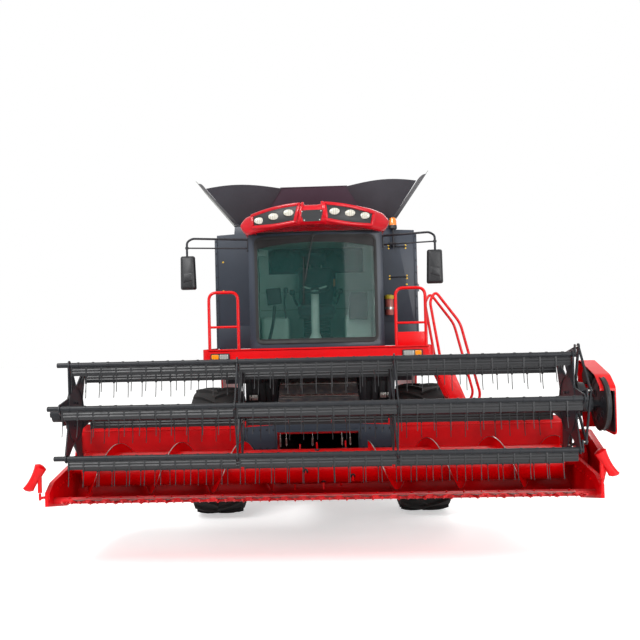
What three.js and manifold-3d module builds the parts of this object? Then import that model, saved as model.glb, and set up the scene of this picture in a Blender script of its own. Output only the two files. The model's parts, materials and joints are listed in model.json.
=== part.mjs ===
// Self-propelled combine harvester with a 15 ft grain header.
// Units are millimetres and +Z is up. The front of the machine faces -Y and its left side is +X.
// Everything is placed from the middle of the front axle on the ground; the last lines move the
// whole machine so that its origin lies under the middle of its outline.
import * as THREE from 'three';
import { ConvexGeometry } from 'three/addons/geometries/ConvexGeometry.js';
import { mergeVertices } from 'three/addons/utils/BufferGeometryUtils.js';
import Module from 'manifold-3d';

const wasm = await Module();
wasm.setup();

// ---------------------------------------------------------------- driving dimensions
const FRONT_AXLE_Y = -900; // front axle, from the middle of the whole machine
const FIT = 0.4; // gap between pieces that touch

const FRONT_TYRE = { radius: 750, width: 600, rim: 420, centreX: 1200 };
const REAR_TYRE = { radius: 525, width: 380, rim: 260, centreX: 980 };
const REAR_AXLE_Y = 3700;
const KINGPIN_X = 740;

const RAIL = { inner: 480, outer: 560, bottom: 900, top: 1100, front: -160, rear: 3980 };
const DECK = { top: 1950, bottom: 1860, half: 1250, front: -1050, rear: 440 };

const CAB = { half: 745, wall: 40, front: -790, rear: 400, bulge: 150, floor: 1952, top: 3234 };
const TANK = { half: 1240, front: 480, rear: 2250, bottom: 1960, shoulder: 3390, rim: 3500, rimHalf: 1010 };
const FLAP = { sideReach: 810, frontReach: 520, thick: 8, leanLeft: 55, leanRight: 50, leanEnd: 53 };
const UNLOAD = { x: 1185, y: 900, radius: 138, z: 2955, length: 3830 };

const FEEDER = { half: 440, pivotY: 50, pivotZ: 1500, wall: 24 };
const HEADER = { half: 2425, inner: 2395 };
const DIVIDER = { left: { x: 2403, lift: 48 }, right: { x: 2465, lift: 0 } };
const AUGER = { y: -2080, z: 845, tube: 160, flight: 248, pitch: 600, half: 2270, shaftEnd: 2303 };
const REEL = {
  y: -2750, z: 1439, radius: 468, bars: 6, firstBar: 10.1, crank: 65,
  disc: 2178, spiders: [-2178, -700, 660, 2178], tinePitch: 274, tineDrop: 235,
};
const REEL_ARM = { x: 2335, half: 38, pivotY: -1700, pivotZ: 1300 };

// ---------------------------------------------------------------- shape helpers
const radians = (degrees) => (degrees * Math.PI) / 180;

function toSolid(geometry) {
  const bare = geometry.clone();
  bare.deleteAttribute('normal');
  bare.deleteAttribute('uv');
  const welded = mergeVertices(bare, 1e-3);
  const index = welded.index.array;
  const triVerts = [];
  for (let i = 0; i < index.length; i += 3) {
    const [a, b, c] = [index[i], index[i + 1], index[i + 2]];
    if (a !== b && b !== c && a !== c) triVerts.push(a, b, c);
  }
  return new wasm.Manifold(new wasm.Mesh({
    numProp: 3,
    vertProperties: new Float32Array(welded.attributes.position.array),
    triVerts: new Uint32Array(triVerts),
  }));
}

function toGeometry(solid) {
  const mesh = solid.asOriginal().simplify(0.02).getMesh();
  const geometry = new THREE.BufferGeometry();
  geometry.setAttribute('position', new THREE.BufferAttribute(new Float32Array(mesh.vertProperties), 3));
  geometry.setIndex(new THREE.BufferAttribute(new Uint32Array(mesh.triVerts), 1));
  return geometry;
}

const join = (...pieces) => toGeometry(pieces.map(toSolid).reduce((sum, next) => sum.add(next)));

const cut = (body, ...tools) => toGeometry(tools.map(toSolid).reduce(
  (left, tool) => left.subtract(tool), toSolid(body)));

const common = (first, second) => toGeometry(toSolid(first).intersect(toSolid(second)));

// A block between two corners.
function block(x0, x1, y0, y1, z0, z1) {
  const geometry = new THREE.BoxGeometry(x1 - x0, y1 - y0, z1 - z0);
  return geometry.translate((x0 + x1) / 2, (y0 + y1) / 2, (z0 + z1) / 2);
}

function extrude(outline, depth) {
  const shape = outline instanceof THREE.Shape
    ? outline
    : new THREE.Shape(outline.map(([u, v]) => new THREE.Vector2(u, v)));
  return new THREE.ExtrudeGeometry(shape, { depth, bevelEnabled: false, curveSegments: 5 });
}

// Outlines drawn as [y, z], [x, z] and [x, y], each pushed along the remaining axis.
function alongX(outline, x0, x1) {
  const turn = new THREE.Matrix4().set(0, 0, 1, x0, 1, 0, 0, 0, 0, 1, 0, 0, 0, 0, 0, 1);
  return extrude(outline, x1 - x0).applyMatrix4(turn);
}

function alongY(outline, y0, y1) {
  const turn = new THREE.Matrix4().set(1, 0, 0, 0, 0, 0, -1, y1, 0, 1, 0, 0, 0, 0, 0, 1);
  return extrude(outline, y1 - y0).applyMatrix4(turn);
}

const alongZ = (outline, z0, z1) => extrude(outline, z1 - z0).translate(0, 0, z0);

// A round bar between two points.
function rod(from, to, radius, sides = 10) {
  const start = new THREE.Vector3(...from);
  const end = new THREE.Vector3(...to);
  const axis = end.clone().sub(start);
  const geometry = new THREE.CylinderGeometry(radius, radius, axis.length(), sides);
  const turn = new THREE.Quaternion().setFromUnitVectors(new THREE.Vector3(0, 1, 0), axis.normalize());
  const middle = start.add(end).multiplyScalar(0.5);
  return geometry.applyQuaternion(turn).translate(middle.x, middle.y, middle.z);
}

// A pipe through a list of points; each stretch runs a little past its bends.
function pipe(points, radius, sides = 6) {
  const stretches = [];
  for (let i = 1; i < points.length; i += 1) {
    const from = new THREE.Vector3(...points[i - 1]);
    const to = new THREE.Vector3(...points[i]);
    const past = to.clone().sub(from).normalize().multiplyScalar(radius * 0.8);
    if (i > 1) from.sub(past);
    if (i < points.length - 1) to.add(past);
    stretches.push(rod(from.toArray(), to.toArray(), radius, sides));
  }
  return join(...stretches);
}

// A solid of revolution about the X axis; the profile lists [radius, x] and closes on itself.
function turned(profile, y, z, sides = 32) {
  const points = [...profile, profile[0]].map(([radius, x]) => new THREE.Vector2(radius, x));
  const geometry = new THREE.LatheGeometry(points, sides);
  return geometry.rotateZ(-Math.PI / 2).translate(0, y, z);
}

// The convex body around a list of points.
const around = (points) => new ConvexGeometry(points.map((p) => new THREE.Vector3(...p)));

// A flat plate with corners in order, thickened along one direction.
function plate(corners, push) {
  return around([...corners, ...corners.map((c) => c.map((value, i) => value + push[i]))]);
}

const mirrored = (geometry, flip) => {
  if (!flip) return geometry;
  const twin = toSolid(geometry).mirror([1, 0, 0]);
  return toGeometry(twin);
};

// ---------------------------------------------------------------- materials
const paint = (color, roughness = 0.4, metalness = 0.1) => (
  new THREE.MeshStandardMaterial({ color, roughness, metalness }));
const RED = paint(0xd3121b);
const DARK_BLUE = paint(0x343d48);
const GREY = paint(0x8a8f93);
const BLACK = paint(0x1c1d1f, 0.6);
const STEEL = paint(0xa8a8a4, 0.35, 0.8);
const RUBBER = paint(0x1b1b1b, 0.9, 0);
const GLASS = new THREE.MeshStandardMaterial({
  color: 0x7d9a94, roughness: 0.1, transparent: true, opacity: 0.4,
});
const AMBER = paint(0xff8a12, 0.3, 0);
const FABRIC = paint(0x2a2f37, 0.9, 0);

const machine = new THREE.Group();
function add(name, geometry, material, parent = machine) {
  const mesh = new THREE.Mesh(geometry, material);
  mesh.name = name;
  parent.add(mesh);
  return mesh;
}

// ---------------------------------------------------------------- frame, axles and wheels
function mainFrame() {
  const { inner, outer, bottom, top, front, rear } = RAIL;
  const rails = [-1, 1].map((side) => mirrored(block(inner, outer, front, rear, bottom, top), side < 0));
  const crossYs = [600, 1700, 2800, 3860];
  const crosses = crossYs.map((y) => block(-inner - 10, inner + 10, y, y + 100, bottom + 20, top - 40));
  // the hanger of the rear axle, and the drawbar plate behind it
  const hanger = join(
    block(-inner - 10, inner + 10, REAR_AXLE_Y - 80, REAR_AXLE_Y + 80, bottom, bottom + 80),
    block(-150, 150, REAR_AXLE_Y - 80, REAR_AXLE_Y + 80, 612, bottom + 10),
  );
  const hitch = join(
    block(-120, 120, 3860, 4000, 640, bottom + 30),
    block(-160, 160, 4000, 4030, 600, 820),
  );
  return join(...rails, ...crosses, hanger, hitch);
}

function frontAxle() {
  const z = FRONT_TYRE.radius;
  const beam = block(-700, 700, -110, 110, z - 110, z + 110);
  const seats = [-1, 1].map((s) => mirrored(
    block(RAIL.inner, RAIL.outer, -100, 100, z + 100, RAIL.bottom - FIT), s < 0));
  const drives = [-1, 1].map((s) => mirrored(
    join(rod([690, 0, z], [860, 0, z], 230, 16), rod([850, 0, z], [1104, 0, z], 110, 12)), s < 0));
  // ears that carry the lift cylinders' cross tube
  const ears = [-200, 200].map((x) => cut(
    block(x - 20, x + 20, -130, 10, 500, z - 100), rod([x - 30, -60, 560], [x + 30, -60, 560], 44, 12)));
  return join(beam, ...seats, ...drives, ...ears);
}

function tyre({ radius, width, rim }, y, x) {
  const half = width / 2;
  const shoulder = radius * 0.06;
  const profile = [
    [rim + 6, -half * 0.86], [radius * 0.8, -half], [radius - shoulder, -half * 0.93],
    [radius, -half * 0.72], [radius, half * 0.72], [radius - shoulder, half * 0.93], [radius * 0.8, half],
    [rim + 6, half * 0.86],
  ];
  return turned(profile, y, radius, 24).translate(x, 0, 0);
}

// side is +1 on the machine's left; the disc's hollow faces outward.
function rim({ radius, width, rim: seat }, y, x, side, hub) {
  const half = width / 2;
  const s = side;
  const profile = [
    [0, -20 * s + hub * s], [seat * 0.62, -14 * s + hub * s], [seat - 14, 36 * s],
    [seat - 14, -half * 0.84 * s], [seat + 5, -half * 0.84 * s], [seat + 5, half * 0.84 * s],
    [seat - 14, half * 0.84 * s], [seat - 14, 64 * s], [seat * 0.62, 12 * s + hub * s], [0, 20 * s + hub * s],
  ];
  const geometry = turned(side > 0 ? profile : [...profile].reverse(), y, radius, 24);
  return geometry.translate(x, 0, 0);
}

function wheel(size, y, side, hub) {
  const x = side * size.centreX;
  return join(tyre({ ...size, rim: size.rim - 8 }, y, x), rim(size, y, x, side, hub));
}

function rearBeam() {
  const z = REAR_TYRE.radius;
  return join(
    block(-660, 660, REAR_AXLE_Y - 70, REAR_AXLE_Y + 70, z - 65, z + 65),
    block(-130, 130, REAR_AXLE_Y - 90, REAR_AXLE_Y + 90, z - 70, 612 - FIT),
    ...[-1, 1].map((s) => mirrored(join(
      block(640, 780, REAR_AXLE_Y - 50, REAR_AXLE_Y + 50, z + 66, z + 96),
      block(640, 780, REAR_AXLE_Y - 50, REAR_AXLE_Y + 50, z - 96, z - 66),
      block(640, 676, REAR_AXLE_Y - 50, REAR_AXLE_Y + 50, z - 96, z + 96),
    ), s < 0)),
  );
}

function knuckle(side) {
  const z = REAR_TYRE.radius;
  const body = join(
    rod([KINGPIN_X, REAR_AXLE_Y, z - 60], [KINGPIN_X, REAR_AXLE_Y, z + 60], 36, 12),
    rod([KINGPIN_X, REAR_AXLE_Y, z], [933, REAR_AXLE_Y, z], 34, 12),
    block(KINGPIN_X - 15, KINGPIN_X + 15, REAR_AXLE_Y, REAR_AXLE_Y + 190, z - 15, z + 15),
  );
  return mirrored(body, side < 0);
}

add('main_frame', mainFrame(), GREY);
add('front_axle', frontAxle(), BLACK);
add('rear_axle_beam', rearBeam(), BLACK);
for (const [name, side] of [['left', 1], ['right', -1]]) {
  add(`front_wheel_${name}`, wheel(FRONT_TYRE, 0, side, -70), RUBBER);
  add(`rear_wheel_${name}`, wheel(REAR_TYRE, REAR_AXLE_Y, side, -20), RUBBER);
  add(`steering_knuckle_${name}`, knuckle(side), BLACK);
}

// ---------------------------------------------------------------- body behind the cab
function threshingBody() {
  const outline = [
    [240, 1180], [900, 1101], [3500, 1101], [3900, 1180], [4050, 1500], [3640, 2100],
    [3640, 2430], [2300, 2430], [2300, 1949], [450, 1949], [450, 1840], [240, 1840],
  ];
  return alongX(outline, -640, 640);
}

function sideCover(side) {
  const x = TANK.half + 6;
  const outline = [
    [820, 1560], [900, 1240], [1020, 1160], [3150, 1160], [3560, 1420], [3620, 1560], [3620, 2370],
    [3560, 2420], [860, 2420], [820, 2380],
  ];
  const skin = alongX(outline, x, x + 24);
  return mirrored(skin, side < 0);
}

// A hollow bin, open at the top, with a narrow shelf on its left for the unloading tube.
function grainTank() {
  const { half, front, rear, bottom, shoulder, rim: top, rimHalf } = TANK;
  const wall = 14;
  const section = (inset) => [
    [-half + inset, bottom + 240 + inset], [-640 + inset, bottom + inset], [640 - inset, bottom + inset],
    [half - inset, bottom + 240 + inset], [half - inset, shoulder - inset],
    [rimHalf + 8 - inset, shoulder + 12 - inset], [rimHalf - inset, top + (inset ? 20 : 0)],
    [-rimHalf + inset, top + (inset ? 20 : 0)], [-rimHalf - 8 + inset, shoulder + 12 - inset],
    [-half + inset, shoulder - inset],
  ];
  const shelf = 2650;
  const shelfWall = 1024;
  const outside = cut(
    alongY(section(0), front, rear), block(shelfWall, half + 50, front + 140, rear + 50, shelf, top + 50));
  const inside = cut(
    alongY(section(wall), front + wall, rear - wall),
    block(shelfWall - wall, half + 50, front + 140 - wall, rear + 50, shelf - wall, top + 50));
  const panels = [-1, 1].map((s) => mirrored(
    block(half - 20, half + 30, front, front + 40, bottom, shoulder - 30), s < 0));
  const standpipe = rod([UNLOAD.x, UNLOAD.y, shelf - 10], [UNLOAD.x, UNLOAD.y, 2730], 150, 24);
  return join(cut(outside, inside), ...panels, standpipe, fillingAuger());
}

function fillingAuger() {
  return join(
    rod([-300, 2080, 2006], [0, 1500, 3560], 110, 16),
    rod([0, 1500, 3530], [0, 1500, 3640], 122, 16),
  );
}

function engineHood() {
  const shell = cut(
    alongX([[2290, 2440], [2290, 3050], [2420, 3120], [3420, 3120], [3620, 2960], [3620, 2440]], -880, 900),
    alongX([[2306, 2430], [2306, 3040], [2426, 3104], [3412, 3104], [3604, 2950], [3604, 2430]], -864, 884),
    // louvred air outlet in the rear face
    block(-500, 500, 3560, 3700, 2560, 2860),
  );
  const screen = rod([-870, 2950, 2770], [-960, 2950, 2770], 300, 28);
  return join(cut(shell, rod([-900, 2950, 2770], [-840, 2950, 2770], 270, 24)), cut(
    screen, rod([-940, 2950, 2770], [-860, 2950, 2770], 270, 24)), exhaust());
}

function exhaust() {
  return join(
    rod([450, 2700, 3100], [450, 2700, 3420], 62, 16),
    rod([450, 2700, 3400], [450, 2790, 3500], 50, 14),
  );
}

function strawHood() {
  const outer = [
    [3660, 2114], [3660, 2560], [3760, 2600], [4300, 2540], [4780, 1960], [4820, 1530], [4078, 1530],
  ];
  const inner = [
    [3676, 2124], [3676, 2550], [3764, 2584], [4290, 2526], [4764, 1950], [4802, 1500], [4094, 1500],
  ];
  return cut(alongX(outer, -680, 680), alongX(inner, -664, 664));
}

function strawChopper() {
  const housing = cut(
    alongX([[4060, 1200], [4060, 1440], [4100, 1520], [4800, 1520], [4900, 1400], [5040, 1240], [4960, 1190],
      [4600, 1120], [4200, 1120]], -700, 700),
    alongX([[4090, 1215], [4090, 1440], [4110, 1600], [4790, 1600], [4880, 1400], [5100, 1200], [4960, 1100],
      [4700, 1100], [4600, 1150], [4220, 1150]], -684, 684),
  );
  const drum = rod([-690, 4330, 1330], [690, 4330, 1330], 90, 16);
  const vanes = [-500, -300, -100, 100, 300, 500].map((x) => (
    alongX([[4590, 1340], [4830, 1515], [4880, 1420], [5000, 1245], [4960, 1196], [4600, 1124]], x, x + 8)));
  const bridge = block(-690, 690, 4570, 4600, 1130, 1170);
  return join(housing, drum, bridge, ...vanes);
}

function fuelTank() {
  return block(920, 1225, 2350, 3540, 2440, 2780);
}

add('threshing_body', threshingBody(), RED);
add('side_cover_left', sideCover(1), RED);
add('side_cover_right', sideCover(-1), RED);
add('grain_tank', grainTank(), DARK_BLUE);
add('engine_block', block(-350, 450, 2480, 3350, 2431, 3000), BLACK);
add('engine_hood', engineHood(), RED);
add('straw_hood', strawHood(), RED);
add('straw_chopper', strawChopper(), RED);
add('fuel_tank', fuelTank(), BLACK);

// ---------------------------------------------------------------- tank flaps and their corners
// Each flap is drawn closed, lying over the tank, and then leaned outward by its own group.
const flapBoard = (halfAt, halfFree, reach, thick) => [
  [-halfAt, 0], [halfAt, 0], [halfFree, reach], [-halfFree, reach],
].map(([u, v]) => [u, v, thick]);

const TANK_MID_Y = (TANK.front + TANK.rear) / 2;
const SIDE_FLAP = { hingeX: TANK.rimHalf + 18, hingeZ: TANK.rim + 40, halfAt: 780, halfFree: 480 };
const END_FLAP = { hingeZ: TANK.rim + 6, halfAt: 700, halfFree: 405 };

// The place of a point of a flap that stands open: reach along the board, offset along its edge.
function onSideFlap(side, reach, along, lift = 0) {
  const lean = radians(side > 0 ? FLAP.leanLeft : FLAP.leanRight);
  return [
    side * (SIDE_FLAP.hingeX + reach * Math.cos(lean) - lift * Math.sin(lean)),
    TANK_MID_Y + along,
    SIDE_FLAP.hingeZ + reach * Math.sin(lean) + lift * Math.cos(lean),
  ];
}

function onEndFlap(end, reach, across, lift = 0) {
  const lean = radians(FLAP.leanEnd);
  const hingeY = end < 0 ? TANK.front + 30 : TANK.rear - 30;
  return [
    across,
    hingeY + end * (reach * Math.cos(lean) - lift * Math.sin(lean)),
    END_FLAP.hingeZ + reach * Math.sin(lean) + lift * Math.cos(lean),
  ];
}

function sideFlap(side) {
  const { halfAt, halfFree } = SIDE_FLAP;
  const corners = (lift) => [
    onSideFlap(side, 12, -halfAt, lift), onSideFlap(side, 12, halfAt, lift),
    onSideFlap(side, FLAP.sideReach, halfFree, lift), onSideFlap(side, FLAP.sideReach, -halfFree, lift),
  ];
  return around([...corners(0), ...corners(FLAP.thick)]);
}

function endFlap(end) {
  const { halfAt, halfFree } = END_FLAP;
  const corners = (lift) => [
    onEndFlap(end, 12, -halfAt, lift), onEndFlap(end, 12, halfAt, lift),
    onEndFlap(end, FLAP.frontReach, halfFree, lift), onEndFlap(end, FLAP.frontReach, -halfFree, lift),
  ];
  return around([...corners(0), ...corners(FLAP.thick)]);
}

// Folded cloth that closes the corner between two open flaps, on a strip along the tank's rim.
function gusset(side, end) {
  const sheetThick = 5;
  const root = [side * (SIDE_FLAP.hingeX - 70), TANK_MID_Y + end * (SIDE_FLAP.halfAt + 50), TANK.rim + 30];
  const endTop = onEndFlap(end, FLAP.frontReach - 10, side * (END_FLAP.halfFree + 20), 2);
  const endLow = onEndFlap(end, 30, side * (END_FLAP.halfAt + 20), 2);
  const sideTop = onSideFlap(side, FLAP.sideReach - 60, end * (SIDE_FLAP.halfFree + 32), 2);
  const sideLow = onSideFlap(side, 30, end * (SIDE_FLAP.halfAt + 14), 2);
  const outer = [side * 1250, TANK_MID_Y + end * (SIDE_FLAP.halfAt + 260), 3900];
  const push = [0, 0, sheetThick];
  return join(plate([root, endLow, endTop, outer], push), plate([root, sideLow, sideTop, outer], push));
}

function cornerGussets() {
  const { front, rear, rim: top, rimHalf } = TANK;
  const ring = cut(
    block(-rimHalf + 2, rimHalf - 2, front + 2, rear - 2, top + 0.5, top + 5),
    block(-rimHalf + 26, rimHalf - 26, front + 26, rear - 26, top - 20, top + 20));
  const corners = [];
  for (const side of [-1, 1]) {
    for (const end of [-1, 1]) {
      const y = end < 0 ? front + 14 : rear - 14;
      corners.push(gusset(side, end));
      corners.push(rod([side * (rimHalf - 14), y, top + 10], [side * (SIDE_FLAP.hingeX - 70),
        TANK_MID_Y + end * (SIDE_FLAP.halfAt + 50), top + 34], 8, 8));
    }
  }
  return join(ring, ...corners);
}

add('tank_flap_left', sideFlap(1), GREY);
add('tank_flap_right', sideFlap(-1), GREY);
add('tank_flap_front', endFlap(-1), DARK_BLUE);
add('tank_flap_rear', endFlap(1), DARK_BLUE);
add('tank_corner_gussets', cornerGussets(), FABRIC);

// ---------------------------------------------------------------- unloading auger
function unloadingAuger() {
  const { x, y, z, radius, length } = UNLOAD;
  return join(
    rod([x, y, 2736], [x, y, z], radius + 4, 16),
    new THREE.SphereGeometry(radius + 5, 14, 8).translate(x, y, z),
    rod([x, y, z], [x, y + length, z + 90], radius, 16),
    // the spout hangs down behind the end of the tube
    around([
      [x - 140, y + length - 60, z + 190], [x + 140, y + length - 60, z + 190],
      [x - 140, y + length + 120, z + 120], [x + 140, y + length + 120, z + 120],
      [x - 130, y + length - 40, z - 190], [x + 130, y + length - 40, z - 190],
      [x - 130, y + length + 120, z - 230], [x + 130, y + length + 120, z - 230],
    ]),
  );
}

add('unloading_auger', unloadingAuger(), RED);

// ---------------------------------------------------------------- cab
// The cab's plan: straight sides, a flat back and a bowed front.
function cabPlan(inset, back = CAB.rear) {
  const half = CAB.half - inset;
  const front = CAB.front + inset;
  const shape = new THREE.Shape();
  shape.moveTo(half, back - inset);
  shape.lineTo(-half, back - inset);
  shape.lineTo(-half, front);
  shape.quadraticCurveTo(0, front - CAB.bulge * 2, half, front);
  shape.closePath();
  return shape;
}

const WINDSCREEN = { half: 668, bottom: 2020, top: 3190 };
const DOOR = { front: -690, rear: 300, bottom: 2016, top: 3190 };

// A window outline with rounded corners, as [u, v].
function rounded(u0, u1, v0, v1, r) {
  const shape = new THREE.Shape();
  shape.moveTo(u0 + r, v0);
  shape.lineTo(u1 - r, v0);
  shape.quadraticCurveTo(u1, v0, u1, v0 + r);
  shape.lineTo(u1, v1 - r);
  shape.quadraticCurveTo(u1, v1, u1 - r, v1);
  shape.lineTo(u0 + r, v1);
  shape.quadraticCurveTo(u0, v1, u0, v1 - r);
  shape.lineTo(u0, v0 + r);
  shape.quadraticCurveTo(u0, v0, u0 + r, v0);
  return shape;
}

function cabShell() {
  const { half, wall, rear, floor, top } = CAB;
  return cut(
    alongZ(cabPlan(0), floor, top),
    alongZ(cabPlan(wall), floor + 55, top - 40),
    alongY(rounded(-WINDSCREEN.half, WINDSCREEN.half, WINDSCREEN.bottom, WINDSCREEN.top, 60), -1000, -690),
    alongX(rounded(DOOR.front, DOOR.rear, DOOR.bottom, DOOR.top, 40), half - 60, half + 60),
    alongX(rounded(DOOR.front, DOOR.rear, 2330, DOOR.top, 60), -half - 60, -half + 60),
    alongY(rounded(-585, -30, 2870, 3170, 70), rear - 80, rear + 60),
    alongY(rounded(30, 585, 2870, 3170, 70), rear - 80, rear + 60),
  );
}

function windscreen() {
  const sheet = cut(alongZ(cabPlan(4), 1990, 3215), alongZ(cabPlan(14), 1900, 3300));
  const { half, bottom, top } = WINDSCREEN;
  return common(sheet, alongY(rounded(-half + 5, half - 5, bottom + 5, top - 5, 58), -1000, -760));
}

// Frame and pane of a side window; the frame is rim wide.
function sidePane(front, rear, bottom, top, x, frameWide, corner) {
  return join(
    cut(
      alongX(rounded(front, rear, bottom, top, corner), x - 38, x),
      alongX(rounded(front + frameWide, rear - frameWide, bottom + frameWide, top - frameWide, corner - 10),
        x - 60, x + 20),
    ),
    alongX(rounded(front + 4, rear - 4, bottom + 4, top - 4, corner), x - 24, x - 16),
  );
}

function cabDoor() {
  const { front, rear, bottom, top } = DOOR;
  return sidePane(front + 7, rear - 7, bottom + 7, top - 7, CAB.half, 46, 38);
}

// Roof slab with the visor that swells forward over the windscreen.
function cabRoof() {
  const plan = new THREE.Shape();
  plan.moveTo(800, CAB.rear + 40);
  plan.lineTo(-800, CAB.rear + 40);
  plan.lineTo(-800, -1080);
  plan.quadraticCurveTo(0, -1700, 800, -1080);
  plan.closePath();
  const crown = new THREE.Shape();
  crown.moveTo(-800, CAB.top + FIT);
  crown.lineTo(800, CAB.top + FIT);
  crown.lineTo(800, 3330);
  crown.quadraticCurveTo(500, 3462, 130, 3490);
  crown.lineTo(-20, 3462);
  crown.lineTo(-170, 3490);
  crown.quadraticCurveTo(-540, 3462, -800, 3330);
  crown.closePath();
  const skirt = cut(
    alongZ(plan, 3190, CAB.top + 20),
    block(-900, 900, -968, CAB.rear + 60, 3100, 3300),
  );
  const slab = common(alongZ(plan, 3100, 3600), alongY(crown, -1700, 600));
  return cut(join(slab, skirt), alongY(archUnder(), -1700, -985));
}

// The visor's lower edge is arched up over the windscreen.
function archUnder() {
  const shape = new THREE.Shape();
  shape.moveTo(-770, 3180);
  shape.quadraticCurveTo(0, 3356, 770, 3180);
  shape.closePath();
  return shape;
}

function driverSeat() {
  return join(
    block(-140, 140, -60, 240, CAB.floor + 56, 2330),
    block(-250, 250, -150, 290, 2320, 2450),
    alongX([[190, 2400], [270, 2410], [350, 2960], [270, 2960]], -240, 240),
    alongX([[275, 2955], [345, 2955], [355, 3120], [290, 3120]], -140, 140),
  );
}

function steeringColumn() {
  const spokes = [90, 210, 330].map((a) => (
    rod([0, 0, 0], [185 * Math.cos(radians(a)), 185 * Math.sin(radians(a)), 0], 10, 6)));
  const wheelRim = new THREE.TorusGeometry(185, 14, 5, 16);
  const steeringWheel = join(wheelRim, rod([0, 0, -20], [0, 0, 14], 42, 10), ...spokes)
    .rotateX(radians(-19)).translate(0, -397, 2646);
  return join(
    steeringWheel, rod([0, -620, 2040], [0, -399, 2640], 48, 8),
    block(-120, 120, -700, -540, CAB.floor + 55 + FIT, 2060),
  );
}

add('cab_shell', cabShell(), DARK_BLUE);
add('windscreen', windscreen(), GLASS);
add('cab_door', cabDoor(), GLASS);
add('cab_roof', cabRoof(), RED);
add('driver_seat', driverSeat(), FABRIC);
add('steering_column', steeringColumn(), BLACK);

// ---------------------------------------------------------------- platform, rails, ladder, mirrors
function platform() {
  const { top, bottom, half, front, rear } = DECK;
  const plan = new THREE.Shape();
  plan.moveTo(half, rear);
  plan.lineTo(-half, rear);
  plan.lineTo(-half, front + 60);
  plan.quadraticCurveTo(-half, front, -half + 60, front);
  plan.lineTo(half - 60, front);
  plan.quadraticCurveTo(half, front, half, front + 60);
  plan.closePath();
  const deck = cut(
    alongZ(plan, bottom - 90, top),
    block(-half + 16, half - 16, front + 16, rear + 10, 1600, top - 30));
  const lamps = [-1, 1].map((s) => mirrored(block(1070, 1200, front - 28, front + 6, 1880, 1940), s < 0));
  const struts = [-1, 1].map((s) => mirrored(join(
    block(RAIL.inner, RAIL.outer, -140, -60, RAIL.top + FIT, top - 25),
    block(RAIL.inner, RAIL.outer, 120, 200, RAIL.top + FIT, top - 25)), s < 0));
  return join(deck, ...lamps, ...struts, handrail(1), handrail(-1));
}

function handrail(side) {
  const y = -960;
  const z0 = DECK.top - 10;
  const hoop = join(
    pipe([[860, y, z0], [860, y, 2590], [1180, y, 2590], [1180, y, z0]], 17),
    rod([860, y, 2210], [1180, y, 2210], 14, 6),
  );
  // the left rail has a closed panel; the right one runs on along the deck, as no door opens there
  const extra = side > 0
    ? block(862, 1178, y - 3, y + 3, 1940, 2120)
    : join(
      rod([1180, y, 2210], [1180, y + 800, 2210], 14, 6),
      pipe([[1180, y, 2575], [1180, y + 800, 2575], [1180, y + 800, z0]], 17),
    );
  return mirrored(join(hoop, extra), side < 0);
}

function ladder() {
  const foot = [1870, 480];
  const head = [1262, 1830];
  const stringers = [-1030, -590].map((y) => alongY([
    [head[0], head[1]], [head[0], head[1] - 130], [foot[0] - 50, foot[1]], [foot[0] + 70, foot[1]],
    [head[0] + 150, head[1] - 40],
  ], y, y + 16));
  const treads = [0, 1, 2, 3, 4].map((i) => {
    const t = (i + 0.5) / 5;
    const x = head[0] + 55 + (foot[0] - head[0]) * t;
    const z = head[1] - 60 + (foot[1] - head[1]) * t;
    return block(x - 90, x + 60, -1020, -580, z, z + 24);
  });
  const grabs = [-1022, -582].map((y) => pipe([
    [1330, y, 1740], [1222, y, 2440], [1285, y, 2540], [1540, y, 2192], [1620, y, 1870], [1740, y, 1400],
    [1640, y, 1250]], 15));
  return join(...stringers, ...treads, ...grabs);
}

function mirror(side, reach) {
  const post = CAB.half + FIT;
  const foot = block(post, post + 14, -785, -725, 3050, 3190);
  const arm = pipe([
    [post + 9, -755, 3165], [reach - 60, -1000, 3165], [reach, -1000, 3130], [reach, -1000, 2990]], 13);
  const brace = pipe([[post + 9, -755, 3085], [reach - 10, -1000, 3085]], 9);
  const head = new THREE.Shape();
  const x0 = reach - 110;
  head.moveTo(x0 + 20, 2620);
  head.lineTo(x0 + 160, 2620);
  head.quadraticCurveTo(x0 + 180, 2620, x0 + 180, 2650);
  head.lineTo(x0 + 180, 2970);
  head.quadraticCurveTo(x0 + 180, 3000, x0 + 150, 3000);
  head.lineTo(x0 + 30, 3000);
  head.quadraticCurveTo(x0, 3000, x0, 2970);
  head.lineTo(x0, 2640);
  head.closePath();
  return mirrored(join(foot, arm, brace, alongY(head, -1030, -960)), side < 0);
}

function beacon() {
  return join(
    rod([975, 420, 3160], [975, 420, 3410], 14, 8),
    rod([975, 420, 3400], [975, 420, 3550], 50, 16),
    block(940, 1010, 412, TANK.front - FIT, 3200, 3240),
  );
}

add('platform', platform(), RED);
add('ladder', ladder(), RED);
add('mirror_left', mirror(1, 1310), BLACK);
add('mirror_right', mirror(-1, 1420), BLACK);
add('beacon', beacon(), AMBER);

// ---------------------------------------------------------------- feeder house and its rams
const LIFT = { foot: [-60, 560], eye: [-1180, 690], x: 300, barrel: 760, rod: 590 };

function feederHouse() {
  const { half, wall } = FEEDER;
  const channel = cut(
    alongX([[130, 1220], [130, 1780], [-1690, 1160], [-1690, 600]], -half, half),
    alongX([[300, 1302], [300, 1814], [-1800, 1098], [-1800, 586]], -half + wall, half - wall),
  );
  // saddles that the rams' cross pin pushes on, each with an open slot
  const [eyeY, eyeZ] = LIFT.eye;
  const saddles = [-180, 180].map((x) => cut(
    block(x - 16, x + 16, eyeY - 120, eyeY + 120, eyeZ - 20, 790),
    alongX([[eyeY - 62, eyeZ - 100], [eyeY + 62, eyeZ - 100], [eyeY + 62, eyeZ + 60], [eyeY - 62, eyeZ + 60]],
      x - 40, x + 40)));
  return join(channel, ...saddles);
}

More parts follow.
